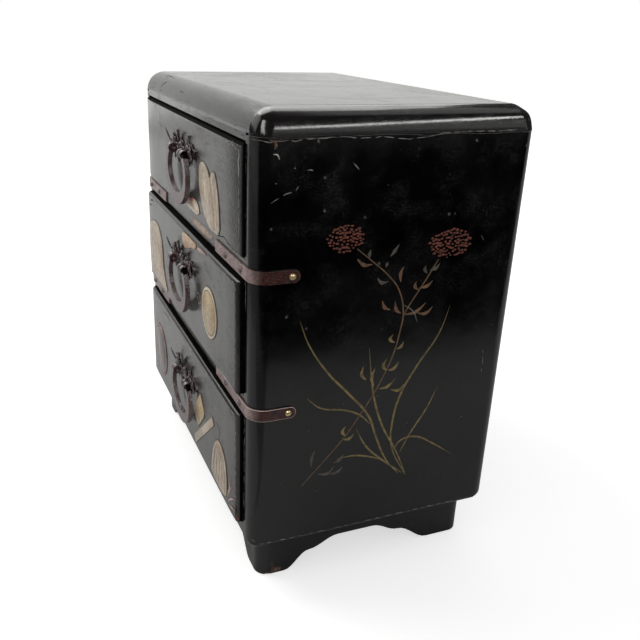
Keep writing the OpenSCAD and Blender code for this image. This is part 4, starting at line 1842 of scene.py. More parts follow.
@dataclass(frozen=True)
class MiddleOverlays(Overlays):
    """A robe at the left end, a trailing cloud, a small ring of petals and a round medallion."""

    level: Level = Level.MIDDLE
    robe: Line = (
        (-92, 37), (-82, 40.5), (-72, 41.8), (-61.8, 38.8), (-55, 31), (-54.5, 19.7), (-50, 9), (-42, 2.6),
        (-60, 2.4), (-82, 3), (-92, 5), (-94, 22))
    cloud: Line = (
        (0.5, 54.8), (-0.6, 50.2), (2.1, 46.7), (7, 46.2), (11.2, 47.8), (15, 48.2), (20.2, 50.7),
        (26.5, 50.8), (31, 54.6), (20, 54.8))
    tail: Line = ((30.8, 53.4), (34.8, 52.2), (42.7, 53), (50.4, 54.6), (44, 54.9), (36, 54.8))
    medallion: Flat = (53.8, 25.1)
    medallion_radius: float = 13.5
    flower: Flat = (33.0, 25.6)

    def build(self) -> None:
        """Builds the figures."""
        work = Work(*STONES)
        self.shape(work, wound(smooth(self.robe, 1)), Tone.CREAM)
        self.shape(work, wound(smooth(self.cloud, 2)), Tone.TAN)
        self.shape(work, wound(smooth(self.tail, 1)), Tone.PINK, thick=self.thick * 0.7)
        self.shape(work, disc(self.medallion, self.medallion_radius, points=56, wobble=0.02), Tone.RIM)
        self.shape(
            work, disc(self.medallion, self.medallion_radius - 1.5, points=48), Tone.DARK,
            thick=self.thick + 0.02, ease=0.02)
        self.shape(
            work, disc(self.medallion, self.medallion_radius - 1.9, points=48), Tone.GOLD,
            thick=self.thick + 0.06, ease=0.1)
        folds = (
            ((-86, 36), (-84, 22), (-82, 5)), ((-78, 39), (-75, 24), (-70, 5)),
            ((-69, 39), (-66, 24), (-60, 6)), ((-62, 35), (-60, 22), (-54, 6)),
            ((4, 53), (8, 50), (12, 52)), ((15, 53), (19, 52), (24, 53.4)))
        self.lines(work, [Stroke(points, 1.8, material=Tone.PINK) for points in folds], flatness=0.16)
        cx, cz = self.medallion
        scene = (
            ((-6, 7), (-3, 3), (1, 4), (3, 8)), ((-8, 0), (-4, -2), (0, 0), (4, -3), (8, -1)),
            ((-5, -6), (-1, -4), (3, -7), (6, -5)), ((-2, 9), (0, 2), (-1, -8)), ((4, 6), (6, 2), (5, -3)))
        self.lines(work, [Stroke(tuple((cx + x, cz + z) for x, z in line), 0.5, material=Tone.PINK)
                          for line in scene], out=self.thick + 0.06, flatness=0.25)
        petals = [
            Stroke(
                tuple(
                    (self.flower[0] + 3.0 * math.cos(a + t), self.flower[1] + 3.0 * math.sin(a + t))
                    for t in (0, 0.5, 1.0)),
                0.7, material=Tone.PINK)
            for a in (0.2, 1.5, 2.8, 4.1, 5.4)]
        self.lines(work, petals, out=0.0, flatness=0.2)
        self.finish(work)


@dataclass(frozen=True)
class LowerOverlays(Overlays):
    """A round mirror, a book, a scroll, a corded pouch and slim leaves."""

    level: Level = Level.LOWER
    pouch: Line = (
        (54, 3.4), (55.6, 13), (58.9, 23), (64, 29.4), (68.6, 31.6), (74.1, 30.6), (79.5, 27), (82.4, 21),
        (83.4, 12), (82, 3.4))
    book: Line = ((31.9, 41.2), (40.6, 33), (38.7, 29.2), (27.2, 17.7), (18.4, 22.4), (17.3, 24.9))
    mirror: Flat = (-72.8, 24.2)
    mirror_radius: float = 18.0
    scroll: tuple[Flat, Flat, float] = ((38.6, 21.4), (50.0, 5.0), 39.7)

    def build(self) -> None:
        """Builds the figures."""
        work = Work(*STONES)
        rounds = (
            (0.0, Tone.PINK, 0.0), (0.8, Tone.DARK, 0.02), (1.6, Tone.PINK, 0.04), (2.2, Tone.GREY, 0.06))
        for inset, tone, out in rounds:
            self.shape(
                work, disc(self.mirror, self.mirror_radius - inset, points=56, wobble=0.01), tone,
                thick=self.thick + out, ease=0.04)
        self.shape(work, wound(self.book), Tone.GOLD)
        self.shape(work, wound(turned_box(*self.scroll)), Tone.CREAM)
        self.shape(work, wound(smooth(self.pouch, 1)), Tone.CREAM)
        fringe = [((66 + dx * 0.3, 29), (61 + dx * 1.1, 20), (57 + dx * 1.4, 4)) for dx in (1, 5, 9, 13, 17)]
        self.lines(work, [Stroke(points, 1.3, material=Tone.PINK) for points in fringe], flatness=0.2)
        self.lines(work, [Stroke(tuple((x - 0.8, z) for x, z in points), 0.6, material=Tone.DARK)
                          for points in fringe], flatness=0.4)
        self.lines(work, [Stroke(((62, 27.4), (69, 28.6), (78, 25.4)), 1.0, material=Tone.PINK)])
        cord = [Stroke(((57, 37.6), (64, 39.4), (69.4, 37.4), (67.6, 31)), 0.6, 0.6, 0.6, Tone.GREY)]
        sprays = [Stroke(points, 1.3, start=0.2, end=0.1, material=Tone.PINK) for points in (
            ((82, 4), (86, 10), (92, 18)), ((84, 4), (90, 9), (96, 13)), ((83, 8), (88, 15), (89, 21)),
            ((86, 3), (92, 5), (96, 6)))]
        streak = [Stroke(((-78, 36), (-76, 24), (-74, 10)), 2.4, start=0.2, end=0.2, material=Tone.PINK)]
        self.lines(work, cord + sprays, out=0.05, flatness=0.3)
        self.lines(work, streak, out=self.thick + 0.05, flatness=0.05)
        self.lines(work, [Stroke(((29.6, 38.4), (24, 26), (22.4, 22.6)), 0.5, material=Tone.RIM)])
        self.finish(work)


GRASS = Paint("paint_grass", (0.27, 0.2, 0.075), (0.15, 0.11, 0.045), rub_and_sheen=0.45, metallic=0.3)
STALK = Paint("paint_stalk", (0.2, 0.11, 0.05), (0.12, 0.07, 0.035), rub_and_sheen=0.5, metallic=0.2)
LEAF_TAN = Paint("paint_leaf_tan", (0.2, 0.1, 0.045), (0.12, 0.065, 0.03), rub_and_sheen=0.5)
LEAF_GREY = Paint("paint_leaf_grey", (0.1, 0.085, 0.07), (0.06, 0.05, 0.045), rub_and_sheen=0.5)
PETAL = Paint("paint_petal", (0.2, 0.04, 0.018), (0.13, 0.03, 0.016), rub_and_sheen=0.45)
PAINTS = (GRASS, STALK, LEAF_TAN, LEAF_GREY, PETAL)


class Brush(IntEnum):
    """The paints of the side, by their place in PAINTS."""

    GRASS = 0
    STALK = 1
    TAN = 2
    GREY = 3
    PETAL = 4


@dataclass(frozen=True)
class Painting:
    """The painted plant on the right side: two flowering stalks over long grass."""

    origin: Point = (110.85, -65.05, 26.0)
    stems: tuple[Line, ...] = (
        (
            (49, 153.5), (56.5, 147.5), (66.5, 139), (72.5, 131.5), (76, 119), (75, 110), (72.5, 98.5),
            (68.5, 88.5), (63.5, 78.5), (56.5, 67.5), (48.5, 56), (38.5, 45), (26.5, 32.5)),
        ((92.5, 145), (86.5, 135), (80, 125), (76.5, 119)))
    blades: tuple[tuple[float, Line], ...] = (
        (
            1.2,
            (
                (22.5, 121.5), (27.5, 109), (38.5, 92.5), (48.5, 81.5), (61.5, 66), (66.5, 53.5),
                (73.5, 38.5), (81.5, 28.5))),
        (1.0, ((27.5, 81.5), (35, 75), (48.5, 71.5), (56.5, 67.5), (62.5, 61.5))),
        (1.1, ((59, 103.5), (61, 90), (64, 75), (70, 58.5), (78.5, 43.5), (86, 27.5))),
        (1.2, ((102, 120.5), (97.5, 106.5), (86.5, 90), (78.5, 75), (75.5, 61.5), (76, 46.5), (86, 26.5))),
        (1.0, ((100, 76.5), (95, 65), (86.5, 51.5), (81.5, 41.5))),
        (1.1, ((114, 33.5), (100, 43.5), (90, 49), (81.5, 48.5), (77.5, 44))),
        (1.0, ((45, 44.5), (55, 44.5), (66.5, 41), (73.5, 37.5))),
        (1.1, ((55, 60), (61.5, 48.5), (71.5, 38.5), (83.5, 28.5))))
    tan_leaves: tuple[Line, ...] = (
        ((49.5, 148.5), (53, 145.5), (57.5, 145.5)), ((73, 135.5), (72.5, 139.5), (74, 143)),
        ((68.5, 122), (65.5, 123.5), (64, 127)), ((74.5, 119.5), (72, 121.5), (71, 126)),
        ((76.5, 118.5), (83, 119.5), (88, 123.5)), ((84, 118.5), (88.5, 118), (92, 121)),
        ((83, 130.5), (81, 132.5), (81.5, 135)), ((83.5, 131.5), (87.5, 132), (90.5, 134.5)))
    grey_leaves: tuple[Line, ...] = (
        ((55.5, 148.5), (55.5, 150.5), (56, 152.5)), ((60.5, 138.5), (63, 136), (66.5, 136.5)),
        ((64.5, 143.5), (65, 145), (65.5, 146)), ((66.5, 148.5), (68.5, 151), (70.5, 154)),
        ((87, 138.5), (85.5, 140.5), (86, 142.5)), ((88.5, 140), (91.5, 140.5), (93.5, 143)),
        ((35.5, 37.5), (40.5, 37), (44, 40.5)), ((41.5, 36.5), (45.5, 36.5), (49, 39)),
        ((43.5, 42.5), (46.5, 43.5), (49, 46.5)), ((31.5, 43), (31.5, 47.5), (33, 52)))
    grass_leaves: tuple[Line, ...] = (
        ((72.5, 104.5), (70, 106.5), (71.5, 109)), ((74, 101), (76.5, 102), (77.5, 104.5)),
        ((69.5, 90), (67.5, 92.5), (69, 96.5)), ((70.5, 90), (73.5, 90.5), (76, 94)),
        ((58.5, 86.5), (56, 89.5), (56.5, 94)), ((63, 82.5), (61.5, 87.5), (63, 92)),
        ((66, 80.5), (70.5, 81), (75, 85)), ((73, 79), (77, 78), (81, 81.5)),
        ((49.5, 57), (47.5, 59.5), (49, 62.5)), ((48.5, 55), (51.5, 55), (54, 57.5)))
    heads: tuple[tuple[Flat, Flat, int], ...] = (
        ((43, 158.5), (18, 12.5), 70), ((98, 152.5), (22.5, 14), 90))
    leaf_width: float = 1.9

    def petals(self, work: Work) -> None:
        """Dabs the two flower heads, each an oval crowd of small strokes with gaps.

        Args:
            work: what it is added to.
        """
        draw = random.Random(11)
        for (cx, cz), (wide, high), count in self.heads:
            placed: list[Flat] = []
            tries = 0
            while len(placed) < count and tries < 4000:
                tries += 1
                a, r = draw.uniform(0, math.tau), math.sqrt(draw.random())
                x, z = cx + r * wide / 2 * math.cos(a), cz + r * high / 2 * math.sin(a)
                if all(math.hypot(x - u, z - v) > 1.25 for u, v in placed):
                    placed.append((x, z))
            for x, z in placed:
                size = draw.uniform(0.45, 0.85)
                ox, oy, oz = self.origin
                work.add_ball((ox, oy + x, oz + z), (0.05, size * draw.uniform(0.9, 1.5), size * 0.75), 2,
                              material=Brush.PETAL)

    def build(self) -> None:
        """Paints the stalks, the blades, the leaves and the flower heads."""
        work = Work(*PAINTS)
        strokes = [Stroke(points, 0.75, start=0.6, end=0.5, material=Brush.STALK) for points in self.stems]
        strokes += [Stroke(points, width, 0.1, 0.35, Brush.GRASS) for width, points in self.blades]
        kinds = (
            (Brush.TAN, self.tan_leaves), (Brush.GREY, self.grey_leaves), (Brush.GRASS, self.grass_leaves))
        for brush, leaves in kinds:
            strokes += [Stroke(points, self.leaf_width, 0.25, 0.1, brush) for points in leaves]
        add_strokes(work, strokes, Plane.RIGHT, self.origin, flatness=0.08)
        self.petals(work)
        work.piece("painted_plant", "case", "black_lacquer", even=False)


# Pale and white mark paints: wear, and where they run along rounded edges partly painted highlight.
PALE_WEAR_AND_HIGHLIGHT = Paint("pale_wear_and_highlight", (0.36, 0.34, 0.31), (0.17, 0.155, 0.14), rub_and_sheen=0.7, rough=0.5)
WHITE_WEAR_AND_HIGHLIGHT = Paint("white_wear_and_highlight", (0.78, 0.75, 0.7), (0.5, 0.47, 0.43), rub_and_sheen=0.3, rough=0.5)
WORN_RED = Paint("worn_red", (0.16, 0.06, 0.035), (0.07, 0.03, 0.02), rub_and_sheen=0.4, rough=0.5)
WORN_DARK = Paint(
    "worn_dark", (0.004, 0.0035, 0.0035), (0.01, 0.008, 0.007), rub_and_sheen=0.1, rough=0.8, shine=0.05)
WORN_TAN = Paint("worn_tan", (0.5, 0.37, 0.28), (0.32, 0.23, 0.18), rub_and_sheen=0.5, rough=0.45)
MARK_PAINTS = (PALE_WEAR_AND_HIGHLIGHT, WHITE_WEAR_AND_HIGHLIGHT, WORN_RED, WORN_DARK, WORN_TAN)


class MarkTone(IntEnum):
    """The tones of the marks, of wear and of partly painted edge highlight, by their place in MARK_PAINTS.
    """

    PALE = 0
    WHITE = 1
    RED = 2
    DARK = 3
    TAN = 4

    def line(self, width: float, *points: Flat) -> "Mark":
        """Gives an unbroken line in this tone."""
        return Mark(self, width, points)

    def dashes(self, width: float, *points: Flat) -> "Mark":
        """Gives a line in this tone that is broken into dashes."""
        return Mark(self, width, points, broken=True)


@dataclass(frozen=True)
class Mark:
    """A mark line, of wear and in places partly painted highlight along an edge: its tone, width and points,
    and whether it is broken into dashes.
    """

    wear: MarkTone
    width: float
    points: Line
    broken: bool = False

    def strokes(self, draw: random.Random) -> list[Stroke]:
        """Gives the mark as strokes, a little uneven.

        Args:
            draw: where the unevenness comes from.

        Returns:
            One stroke, or a dash for each unbroken length.
        """
        if not self.broken:
            return [Stroke(self.points, self.width, start=0.3, end=0.3, material=self.wear)]
        made, dash, left = [], [], draw.uniform(2.0, 6.0)
        for (x0, y0), (x1, y1) in zip(self.points, self.points[1:]):
            pieces = max(1, round(math.hypot(x1 - x0, y1 - y0) / 1.0))
            for i in range(pieces):
                t = i / pieces
                spot = (
                    x0 + (x1 - x0) * t + draw.uniform(-0.08, 0.08),
                    y0 + (y1 - y0) * t + draw.uniform(-0.12, 0.12))
                left -= 1.0
                if left > 0:
                    dash.append(spot)
                    continue
                if len(dash) > 1:
                    made.append(Stroke(dash, self.width * draw.uniform(0.6, 1.3), 0.3, 0.3, self.wear))
                dash, left = [], draw.uniform(2.0, 7.0)
        if len(dash) > 1:
            made.append(Stroke(dash, self.width, start=0.3, end=0.3, material=self.wear))
        return made


def hollow(past: float, radius: float) -> float:
    """Gives how far a rounding falls off at a distance past where it starts."""
    reach = min(max(past, 0.0), radius * 0.98)
    return radius - math.sqrt(radius * radius - reach * reach)


@dataclass(frozen=True)
class FaceMarks:
    """The knocks, scratches and rubbing on the edges of one face of the chest, with pale edge lines that are
    partly painted highlight.
    """

    name: str
    body: str
    plane: Plane
    origin: Point
    marks: tuple[Mark, ...]
    seed: int = 1

    def sunk(self, across: float, up: float) -> float:
        """Gives how far the case is rounded off at a point of this face.

        Args:
            across: the place across the face.
            up: the place up the face.

        Returns:
            The depth.
        """
        case = Case()
        if self.plane is Plane.RIGHT:
            return hollow(case.front + case.upright - across, case.upright)
        if self.plane is Plane.TOP:
            return max(hollow(abs(across) - case.half + case.shoulder, case.shoulder),
                       hollow(case.front + case.shoulder - up, case.shoulder))
        return 0.0

    def build(self) -> None:
        """Draws the marks as thin flat ridges in their own tones."""
        draw = random.Random(self.seed)
        work = Work(*MARK_PAINTS)
        strokes = [stroke for mark in self.marks for stroke in mark.strokes(draw)]
        add_strokes(work, strokes, self.plane, self.origin, flatness=0.3, steps=3, sunk=self.sunk)
        work.piece(self.name, self.body, "black_lacquer", even=False)


LIP_LINE = (
    (-64.6, 228.2), (-61.3, 227.9), (-58.4, 227.4), (-53.3, 227.8), (-50.5, 228.3), (-47.8, 227.6),
    (-44.5, 228.3), (-35.6, 228.6), (-27.6, 229.2), (-17, 228.2), (-6.9, 228.7), (1.1, 227.6), (5.5, 227.3),
    (13.6, 227.9), (23.6, 229.6), (37.3, 230.1), (52.2, 229.8), (63.1, 230.4))
SIDE_MARKS = FaceMarks(
    "wear_and_highlight_side", "case", Plane.RIGHT, (111.05, 0.0, 0.0),
    (
        MarkTone.PALE.dashes(0.3, *LIP_LINE), MarkTone.PALE.dashes(0.24, *LIP_LINE),
        MarkTone.RED.line(0.9, (-59, 228.6), (-56.6, 227.6), (-53.4, 228.6)),
        MarkTone.RED.line(1.2, (-56.6, 228.6), (-56.2, 226.6), (-56.4, 224.6)),
        MarkTone.TAN.line(0.35, (-57.2, 227.6), (-55.6, 226.2), (-56.8, 224.8)),
        MarkTone.WHITE.line(0.5, (-57.2, 222.6), (-55.4, 222.4), (-54.4, 220.4)),
        MarkTone.PALE.dashes(0.3, (-57.8, 202.4), (-52.5, 205.5), (-46.7, 207.3), (-45, 210)),
        MarkTone.PALE.line(0.45, (-42, 215.5), (-40.5, 215.7), (-39.3, 215.4)),
        MarkTone.PALE.line(0.4, (-20.8, 218.1), (-19, 216.4), (-17.7, 215.0)),
        MarkTone.WHITE.line(0.6, (-47.7, 216.8), (-47.3, 216.5)),
        MarkTone.WHITE.line(0.5, (-55.9, 210.8), (-55.5, 210.5)),
        MarkTone.PALE.line(0.5, (-3.1, 207.8), (-2.7, 207.6)), MarkTone.PALE.line(0.5, (1.5, 223), (1.9, 222.8)),
        # Pale dashes along the side's foot: a painted highlight on the rounded lower edge, broken like wear.
        MarkTone.PALE.dashes(
            0.35, (-63.4, 30.6), (-60, 28.8), (-40, 28.6), (-15, 28.4), (20, 28.7), (55, 28.6)),
        MarkTone.PALE.line(0.4, (50, 181), (51.5, 178.6)), MarkTone.PALE.line(0.3, (10, 150), (16, 146), (19, 140)),
        MarkTone.PALE.dashes(0.3, (60, 120), (61, 112), (60.6, 104))),
    seed=4)
TOP_MARKS = FaceMarks(
    "worn_marks_top", "case", Plane.TOP, (0.0, 0.0, 240.94),
    (
        MarkTone.DARK.line(0.75, (-66, -64.3), (-62.6, -62.8), (-57.7, -61.4)),
        MarkTone.DARK.line(0.6, (-81.6, -58.8), (-68.6, -58), (-48.6, -59)),
        MarkTone.DARK.line(0.5, (-21.2, -63.4), (-13.9, -63.5)),
        MarkTone.DARK.line(0.9, (6.3, -56.8), (11.3, -57.1)), MarkTone.DARK.line(0.6, (-22.5, -33.8), (-15.7, -30)),
        MarkTone.DARK.line(0.5, (61, -57.7), (58.8, -51.8)),
        MarkTone.DARK.line(0.5, (-92, -56.5), (-80, -52), (-73.7, -49.5)),
        MarkTone.DARK.line(0.6, (-63.9, -65), (-69, -60), (-74, -57.6)),
        MarkTone.DARK.line(0.4, (-60, -47.5), (-48, -48.3), (-36, -48.7)),
        MarkTone.DARK.line(0.4, (-12, -66), (-8, -69), (-9, -72)),
        MarkTone.DARK.line(0.5, (40, -37.8), (47, -37), (53, -37.3)),
        MarkTone.DARK.line(0.9, (55.2, -27.9), (56.2, -27.5)),
        MarkTone.DARK.line(0.5, (60.7, -25.7), (66, -26.4), (70, -26.2)),
        MarkTone.DARK.line(0.4, (64.5, -56.6), (68, -55), (72, -55.4)),
        MarkTone.DARK.line(0.8, (79.2, -18.9), (80.2, -18.5)),
        MarkTone.DARK.line(0.45, (87.1, -42.9), (92, -44.4), (97, -44)),
        MarkTone.DARK.line(0.5, (-30, -20), (-20, -21.5), (-14, -21)),
        MarkTone.DARK.line(0.35, (10, 20), (24, 18.6), (32, 19.2)),
        MarkTone.DARK.line(0.7, (-40.5, -30.2), (-39.6, -29.8)),
        MarkTone.DARK.line(0.4, (20, -12), (34, -13.4), (42, -12.6)),
        MarkTone.PALE.dashes(0.3, (0, 40), (20, 44), (44, 42)),
        MarkTone.PALE.dashes(0.3, (40, 5), (60, 9), (78, 6))),
    seed=5)
FRONT_MARKS = (
    FaceMarks(
        "wear_and_highlight_rails", "case", Plane.FRONT, (0.0, -65.05, 0.0),
        (
            MarkTone.TAN.line(4.6, (2, 170.8), (16, 170.6), (34, 170.2), (47, 170.6)),
            # Pale lines along the rail edges and the case's front edge: partly wear, partly painted
            # highlight.
            MarkTone.PALE.line(0.35, (100.3, 165.2), (100.7, 161.5), (100.4, 156.7), (100.5, 151)),
            MarkTone.PALE.dashes(0.3, (100.4, 97), (100.6, 88), (100.3, 78), (100.6, 60), (100.4, 44)),
            MarkTone.PALE.dashes(0.3, (-60, 174.9), (-20, 174.8), (30, 174.9), (60, 174.8)),
            MarkTone.PALE.dashes(0.3, (-80, 34.2), (-20, 34.3), (40, 34.1), (98, 34.2))),
        seed=6),
    FaceMarks(
        "wear_and_highlight_upper_front", "upper_drawer", Plane.FRONT, (0.0, Level.UPPER.face, Level.UPPER.low),
        (
            # Pale and white lines along this front's edges: partly wear, partly painted highlight.
            MarkTone.PALE.dashes(0.4, (30, 0.9), (54, 0.8), (66, 1.2), (74, 2.4), (80, 1.4), (97, 0.9)),
            MarkTone.DARK.line(0.5, (62, 1.6), (70, 2.2), (75, 3.2), (80, 2.2), (86, 1.6)),
            MarkTone.PALE.dashes(0.3, (77, 47.2), (84, 48.2), (92, 47.6)),
            MarkTone.PALE.dashes(0.3, (80, 48.6), (90, 49.0)),
            MarkTone.PALE.dashes(0.3, (83, 46.0), (88, 47.4), (96, 46.4)),
            MarkTone.WHITE.line(0.4, (96.8, 47.0), (97.3, 43.8), (96.2, 41.4), (97.2, 38.4), (96.6, 35.4)),
            MarkTone.PALE.dashes(0.3, (97.2, 34), (97.4, 20), (97.3, 4)),
            MarkTone.WHITE.line(0.35, (50.5, 40.4), (51.4, 38.6)),
            MarkTone.WHITE.line(0.35, (47.6, 40.2), (48.6, 38.2)), MarkTone.DARK.line(0.5, (84, 22), (85, 20.6)),
            MarkTone.DARK.line(0.4, (76, 30), (78, 29.4)),
            MarkTone.PALE.dashes(0.25, (-90, 47.8), (-40, 48.1), (10, 48.0), (60, 48.2))),
        seed=7),
    FaceMarks(
        "wear_and_highlight_middle_front", "middle_drawer", Plane.FRONT, (0.0, Level.MIDDLE.face, Level.MIDDLE.low),
        (
            # Pale and white lines along this front's edges: partly wear, partly painted highlight.
            MarkTone.PALE.dashes(0.4, (-60, 55.0), (-20, 55.1), (40, 55.0), (97, 55.1)),
            MarkTone.DARK.line(1.0, (-88, 52.0), (-84, 53.6), (-78, 53.2)),
            MarkTone.DARK.line(0.8, (-92, 48.6), (-88, 49.6), (-85, 49)),
            MarkTone.PALE.line(0.25, (68, 53.6), (73.2, 53.4), (75.6, 50), (71.4, 46.4)),
            MarkTone.PALE.line(0.25, (77.9, 34.1), (82.8, 32.4), (84.4, 27.9), (81.1, 23.4)),
            MarkTone.WHITE.line(0.4, (70, 1.0), (86, 1.1), (97.4, 1.0)),
            MarkTone.PALE.dashes(0.3, (97.4, 54), (97.5, 40), (97.4, 20), (97.5, 4)),
            MarkTone.PALE.dashes(0.25, (60, 44), (70, 45.4), (78, 44.8)),
            MarkTone.PALE.dashes(0.3, (-30, 30), (-20, 31), (-12, 30))),
        seed=8),
    FaceMarks(
        "wear_and_highlight_lower_front", "lower_drawer", Plane.FRONT, (0.0, Level.LOWER.face, Level.LOWER.low),
        (
            # Pale and white lines along this front's edges: partly wear, partly painted highlight.
            MarkTone.PALE.dashes(0.4, (-60, 60.9), (-20, 61.0), (40, 60.9), (97, 61.0)),
            MarkTone.PALE.dashes(0.9, (-52, 58.6), (-46, 59.2), (-42, 58.4)),
            MarkTone.PALE.dashes(0.9, (8, 59), (14, 60), (19, 59.4)),
            MarkTone.DARK.line(0.6, (-62.8, 56.0), (-50.6, 57.7), (-42.1, 56.8)),
            MarkTone.TAN.line(0.35, (-66, 52), (-58, 54.6), (-50, 53.4)),
            MarkTone.TAN.line(0.35, (-44.5, 39.9), (-29.4, 47.3), (-15.9, 49.6), (-21.8, 43.9), (-36.3, 37.0)),
            MarkTone.PALE.line(0.3, (88, 57.4), (91, 60.0)), MarkTone.PALE.line(0.3, (90.6, 57.0), (94, 60.2)),
            MarkTone.PALE.line(0.3, (93.2, 56.6), (96.6, 59.6)), MarkTone.DARK.line(0.5, (88, 59.8), (95, 57.2)),
            MarkTone.RED.line(0.9, (95.6, 9.6), (96.8, 6.4), (95.8, 3.2)),
            MarkTone.PALE.dashes(0.35, (97.2, 56), (97.4, 36), (97.2, 14)),
            MarkTone.WHITE.line(0.4, (96.8, 16), (97.2, 13.6)), MarkTone.DARK.line(0.6, (60, 50), (62, 49.4)),
            MarkTone.PALE.dashes(0.3, (56, 46), (66, 47.6), (72, 46.6))),
        seed=9))


# The studio


# The panels are aimed at the middle of the top's right edge, in metres
CORNER = (0.1, 0.0, 0.235)


def facing(place: Point, out: Vector, along: Point) -> Matrix:
    """Gives the matrix that puts a flat thing in its place.

    Args:
        place: its middle.
        out: the direction square to it.
        along: the direction that its width follows.

    Returns:
        The matrix.
    """
    out = out.normalized()
    across = Vector(along)
    across = (across - out * out.dot(across)).normalized()
    return Matrix.Translation(place) @ Matrix((across, out.cross(across), out)).transposed().to_4x4()


@dataclass(frozen=True)
class Panel:
    """A soft lamp panel: where it stands, what it faces, its long way, its size and its power in watts."""

    name: str
    place: Point
    aim: Point
    along: Point
    size: Flat
    power: float
    seen_in_gloss: bool = True
    lights: bool = True
    tint: Colour = (0.995, 1.0, 0.97)

    def build(self) -> None:
        """Makes the lamp."""
        lamp = bpy.data.lights.new(self.name, "AREA")
        lamp.shape = "RECTANGLE"
        lamp.size, lamp.size_y = self.size
        lamp.energy = self.power
        lamp.color = self.tint
        made = linked(self.name, lamp)
        made.matrix_world = facing(self.place, Vector(self.place) - Vector(self.aim), self.along)
        made.visible_glossy = self.seen_in_gloss
        made.visible_diffuse = self.lights


@dataclass(frozen=True)
class CardBlack(Finish):
    """The black of a card that may glow a little."""

    glow: float = 0.0

    def draw(self, graph: Graph) -> Feeds:
        """Gives the shader its constants."""
        return {"Base Color": (0.0, 0.0, 0.0), "Specular IOR Level": 0.0, "Roughness": 1.0,
                "Emission Color": (1.0, 1.0, 1.0), "Emission Strength": self.glow}


@dataclass(frozen=True)
class PaleFloor(Finish):
    """The floor's pale matt finish, which the camera sees lifted towards white."""

    pale: Colour = (0.72, 0.72, 0.72)
    lift: float = 0.62

    def draw(self, graph: Graph) -> Feeds:
        """Draws the faint clouds and the lift.

        Args:
            graph: its graph.

        Returns:
            What feeds its shader.
        """
        tone = graph.noise(graph.place(), 3.0, 2.0)
        seen = graph.add("ShaderNodeLightPath").outputs["Is Camera Ray"]
        return {
            "Base Color": graph.mix(tone, self.pale, tuple(v * 0.97 for v in self.pale)),
            "Emission Color": graph.mix(seen, (0.0, 0.0, 0.0), (1.0, 1.0, 1.0)),
            "Emission Strength": self.lift, "Roughness": 0.95, "Specular IOR Level": 0.1}


@dataclass(frozen=True)
class Flag:
    """A dark card that only reflections see: its middle, what it faces, its long way, size and glow."""

    name: str
    place: Point
    aim: Point
    along: Point
    size: Flat
    glow: float = 0.0

    def build(self) -> None:
        """Makes the card."""
        work = bmesh.new()
        bmesh.ops.create_grid(work, x_segments=1, y_segments=1, size=0.5)
        mesh = bpy.data.meshes.new(self.name)
        turn = facing(self.place, Vector(self.aim) - Vector(self.place), self.along)
        work.transform(turn @ Matrix.Diagonal((*self.size, 1.0)).to_4x4())
        work.to_mesh(mesh)
        work.free()
        mesh.materials.append(CardBlack(f"{self.name}_card", self.glow).material())
        card = linked(self.name, mesh)
        card.visible_camera = card.visible_diffuse = card.visible_shadow = False
        card.visible_transmission = False


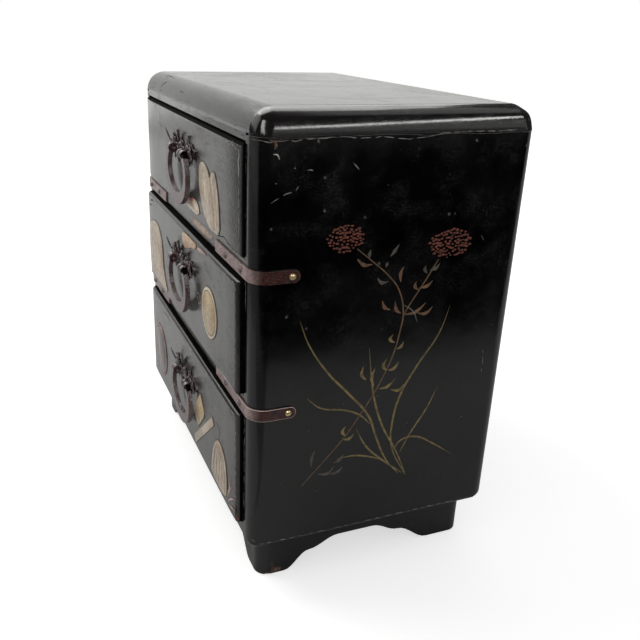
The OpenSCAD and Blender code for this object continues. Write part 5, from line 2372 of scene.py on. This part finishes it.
@dataclass(frozen=True)
class Studio:
    """A pale floor, soft light and the camera at the photo's angle."""

    eye: Point = (0.39750, -0.16399, 0.27274)
    heading: float = 157.5518
    tilt: float = -21.8067
    roll: float = 1.9656
    focal_px: float = 743.0
    picture_px: float = 640.0
    middle_px: Flat = (293.90, 319.89)
    sensor: float = 36.0
    ambient: float = 0.55
    room: float = 0.1
    panels: tuple[Panel, ...] = (
        Panel("wall_left", (-1.53, 0.325, 0.47), (-0.08, 0.325, 0.47), (0, 1, 0), (2.15, 0.86), 4.25),
        Panel(
            "slope_left", (-1.12, 0.20, 1.08), CORNER, (0.55, -0.13, 0.82), size=(0.61, 1.56), power=7.4,
            lights=False),
        Panel(
            "high_left", (-0.78, 0.17, 1.44), CORNER, (0.72, -0.39, 0.57), size=(0.62, 1.52), power=11.5,
            lights=False),
        Panel("high_front", (-0.72, -0.98, 1.03), CORNER, (0.77, -0.64, 0), (1.5, 0.95), 6.4, lights=False),
        Panel(
            "ceiling", (-0.034, 0.761, 1.521), CORNER, (0.985, 0.174, 0), size=(0.83, 0.55), power=1.1,
            lights=False),
        Panel(
            "tube_right", (0.82, 0.50, 0.76), CORNER, (-0.62, 0.62, 0.48), size=(0.80, 0.075), power=2.9,
            lights=False),
        Panel("wall_right", (1.16, 0.80, 0.66), CORNER, (-0.6, 0.8, 0), (1.6, 0.62), 2.6, lights=False),
        Panel(
            "wall_right_low", (1.17, 0.81, 0.225), CORNER, (-0.6, 0.8, 0), size=(1.6, 0.25), power=0.3,
            lights=False),
        Panel("corner_glint", (0.78, -0.74, 0.95), CORNER, (1, 1, 0), (0.5, 0.7), 8.8, lights=False),
        Panel(
            "fill_front_left", (-0.8, -0.9, 1.3), (-0.45, -0.15, 0.0), (1, 0, 0), size=(0.9, 0.9),
            power=11.0, seen_in_gloss=False))
    flags: tuple[Flag, ...] = (
        Flag("card_right", (0.36, 0.2, 0.1), (0.0, 0.2, 0.1), (0, 1, 0), size=(2.0, 0.2)),
        Flag(
            "card_front", (-0.369, -0.721, 0.002), (-0.369, -0.721, 1.0), (0.9476, 0.3194, 0),
            size=(1.9, 0.82), glow=0.25),
        Flag("card_by_corner", (0.02, -0.27, 0.003), (0.02, -0.27, 1.0), (1, 0, 0), (0.36, 0.30), 0.55))

    def floor(self) -> None:
        """Lays the pale floor."""
        work = bmesh.new()
        bmesh.ops.create_grid(work, x_segments=4, y_segments=4, size=4.0)
        mesh = bpy.data.meshes.new("studio_floor")
        work.to_mesh(mesh)
        work.free()
        mesh.materials.append(PaleFloor("pale_floor").material())
        linked("studio_floor", mesh)

    def sky(self) -> None:
        """Gives the world its soft light and a white backdrop."""
        world = bpy.data.worlds.new("studio_sky")
        world.use_nodes = True
        bpy.context.scene.world = world
        graph = Graph(world.node_tree)
        back = world.node_tree.nodes["Background"]
        rays = graph.add("ShaderNodeLightPath")
        lifted = graph.times(rays.outputs["Is Camera Ray"], 1.0 - self.ambient)
        dimmed = graph.times(rays.outputs["Is Glossy Ray"], self.room - self.ambient)
        graph.put(back.inputs["Strength"], graph.plus(self.ambient, graph.plus(lifted, dimmed)))
        back.inputs["Color"].default_value = (1.0, 1.0, 1.0, 1.0)

    def camera(self) -> None:
        """Places the camera at the photo's angle."""
        lens = bpy.data.cameras.new("camera")
        lens.sensor_width = self.sensor
        lens.lens = self.focal_px / self.picture_px * self.sensor
        lens.shift_x = 0.5 - self.middle_px[0] / self.picture_px
        lens.shift_y = self.middle_px[1] / self.picture_px - 0.5
        made = linked("camera", lens)
        turn = (Matrix.Rotation(math.radians(self.heading - 90), 4, "Z")
                @ Matrix.Rotation(math.radians(self.tilt + 90), 4, "X")
                @ Matrix.Rotation(math.radians(self.roll), 4, "Z"))
        made.matrix_world = Matrix.Translation(self.eye) @ turn
        bpy.context.scene.camera = made

    def build(self) -> None:
        """Builds the studio."""
        bpy.context.scene.view_settings.view_transform = "Standard"
        self.floor()
        self.sky()
        self.camera()
        for part in (*self.panels, *self.flags):
            part.build()


DRAWERS = (
    Drawer(Level.UPPER, (((98.3, 0.4, 39.0), (0.7, 0.8, 2.4)),), top_edge=1.2, end_edge=1.0, pillow=22.0,
           pillow_drop=0.95),
    Drawer(Level.MIDDLE),
    Drawer(Level.LOWER, (((98.1, 0.5, 12.0), (1.0, 1.0, 3.2)), ((97.9, 0.6, 2.0), (1.6, 1.2, 2.2)))),
)


def main() -> None:
    """Builds the chest's looks over its frame, then the studio."""
    Case().build()
    Plinth().build()
    Straps().build()
    for drawer in DRAWERS:
        drawer.build()
    for level in Level:
        Pull(level).build()
    for overlays in (UpperOverlays(), MiddleOverlays(), LowerOverlays()):
        overlays.build()
    Painting().build()
    for marks in (SIDE_MARKS, TOP_MARKS, *FRONT_MARKS):
        marks.build()
    Studio().build()


if __name__ == "__main__":
    logging.basicConfig(level=logging.INFO, format="%(message)s")
    main()
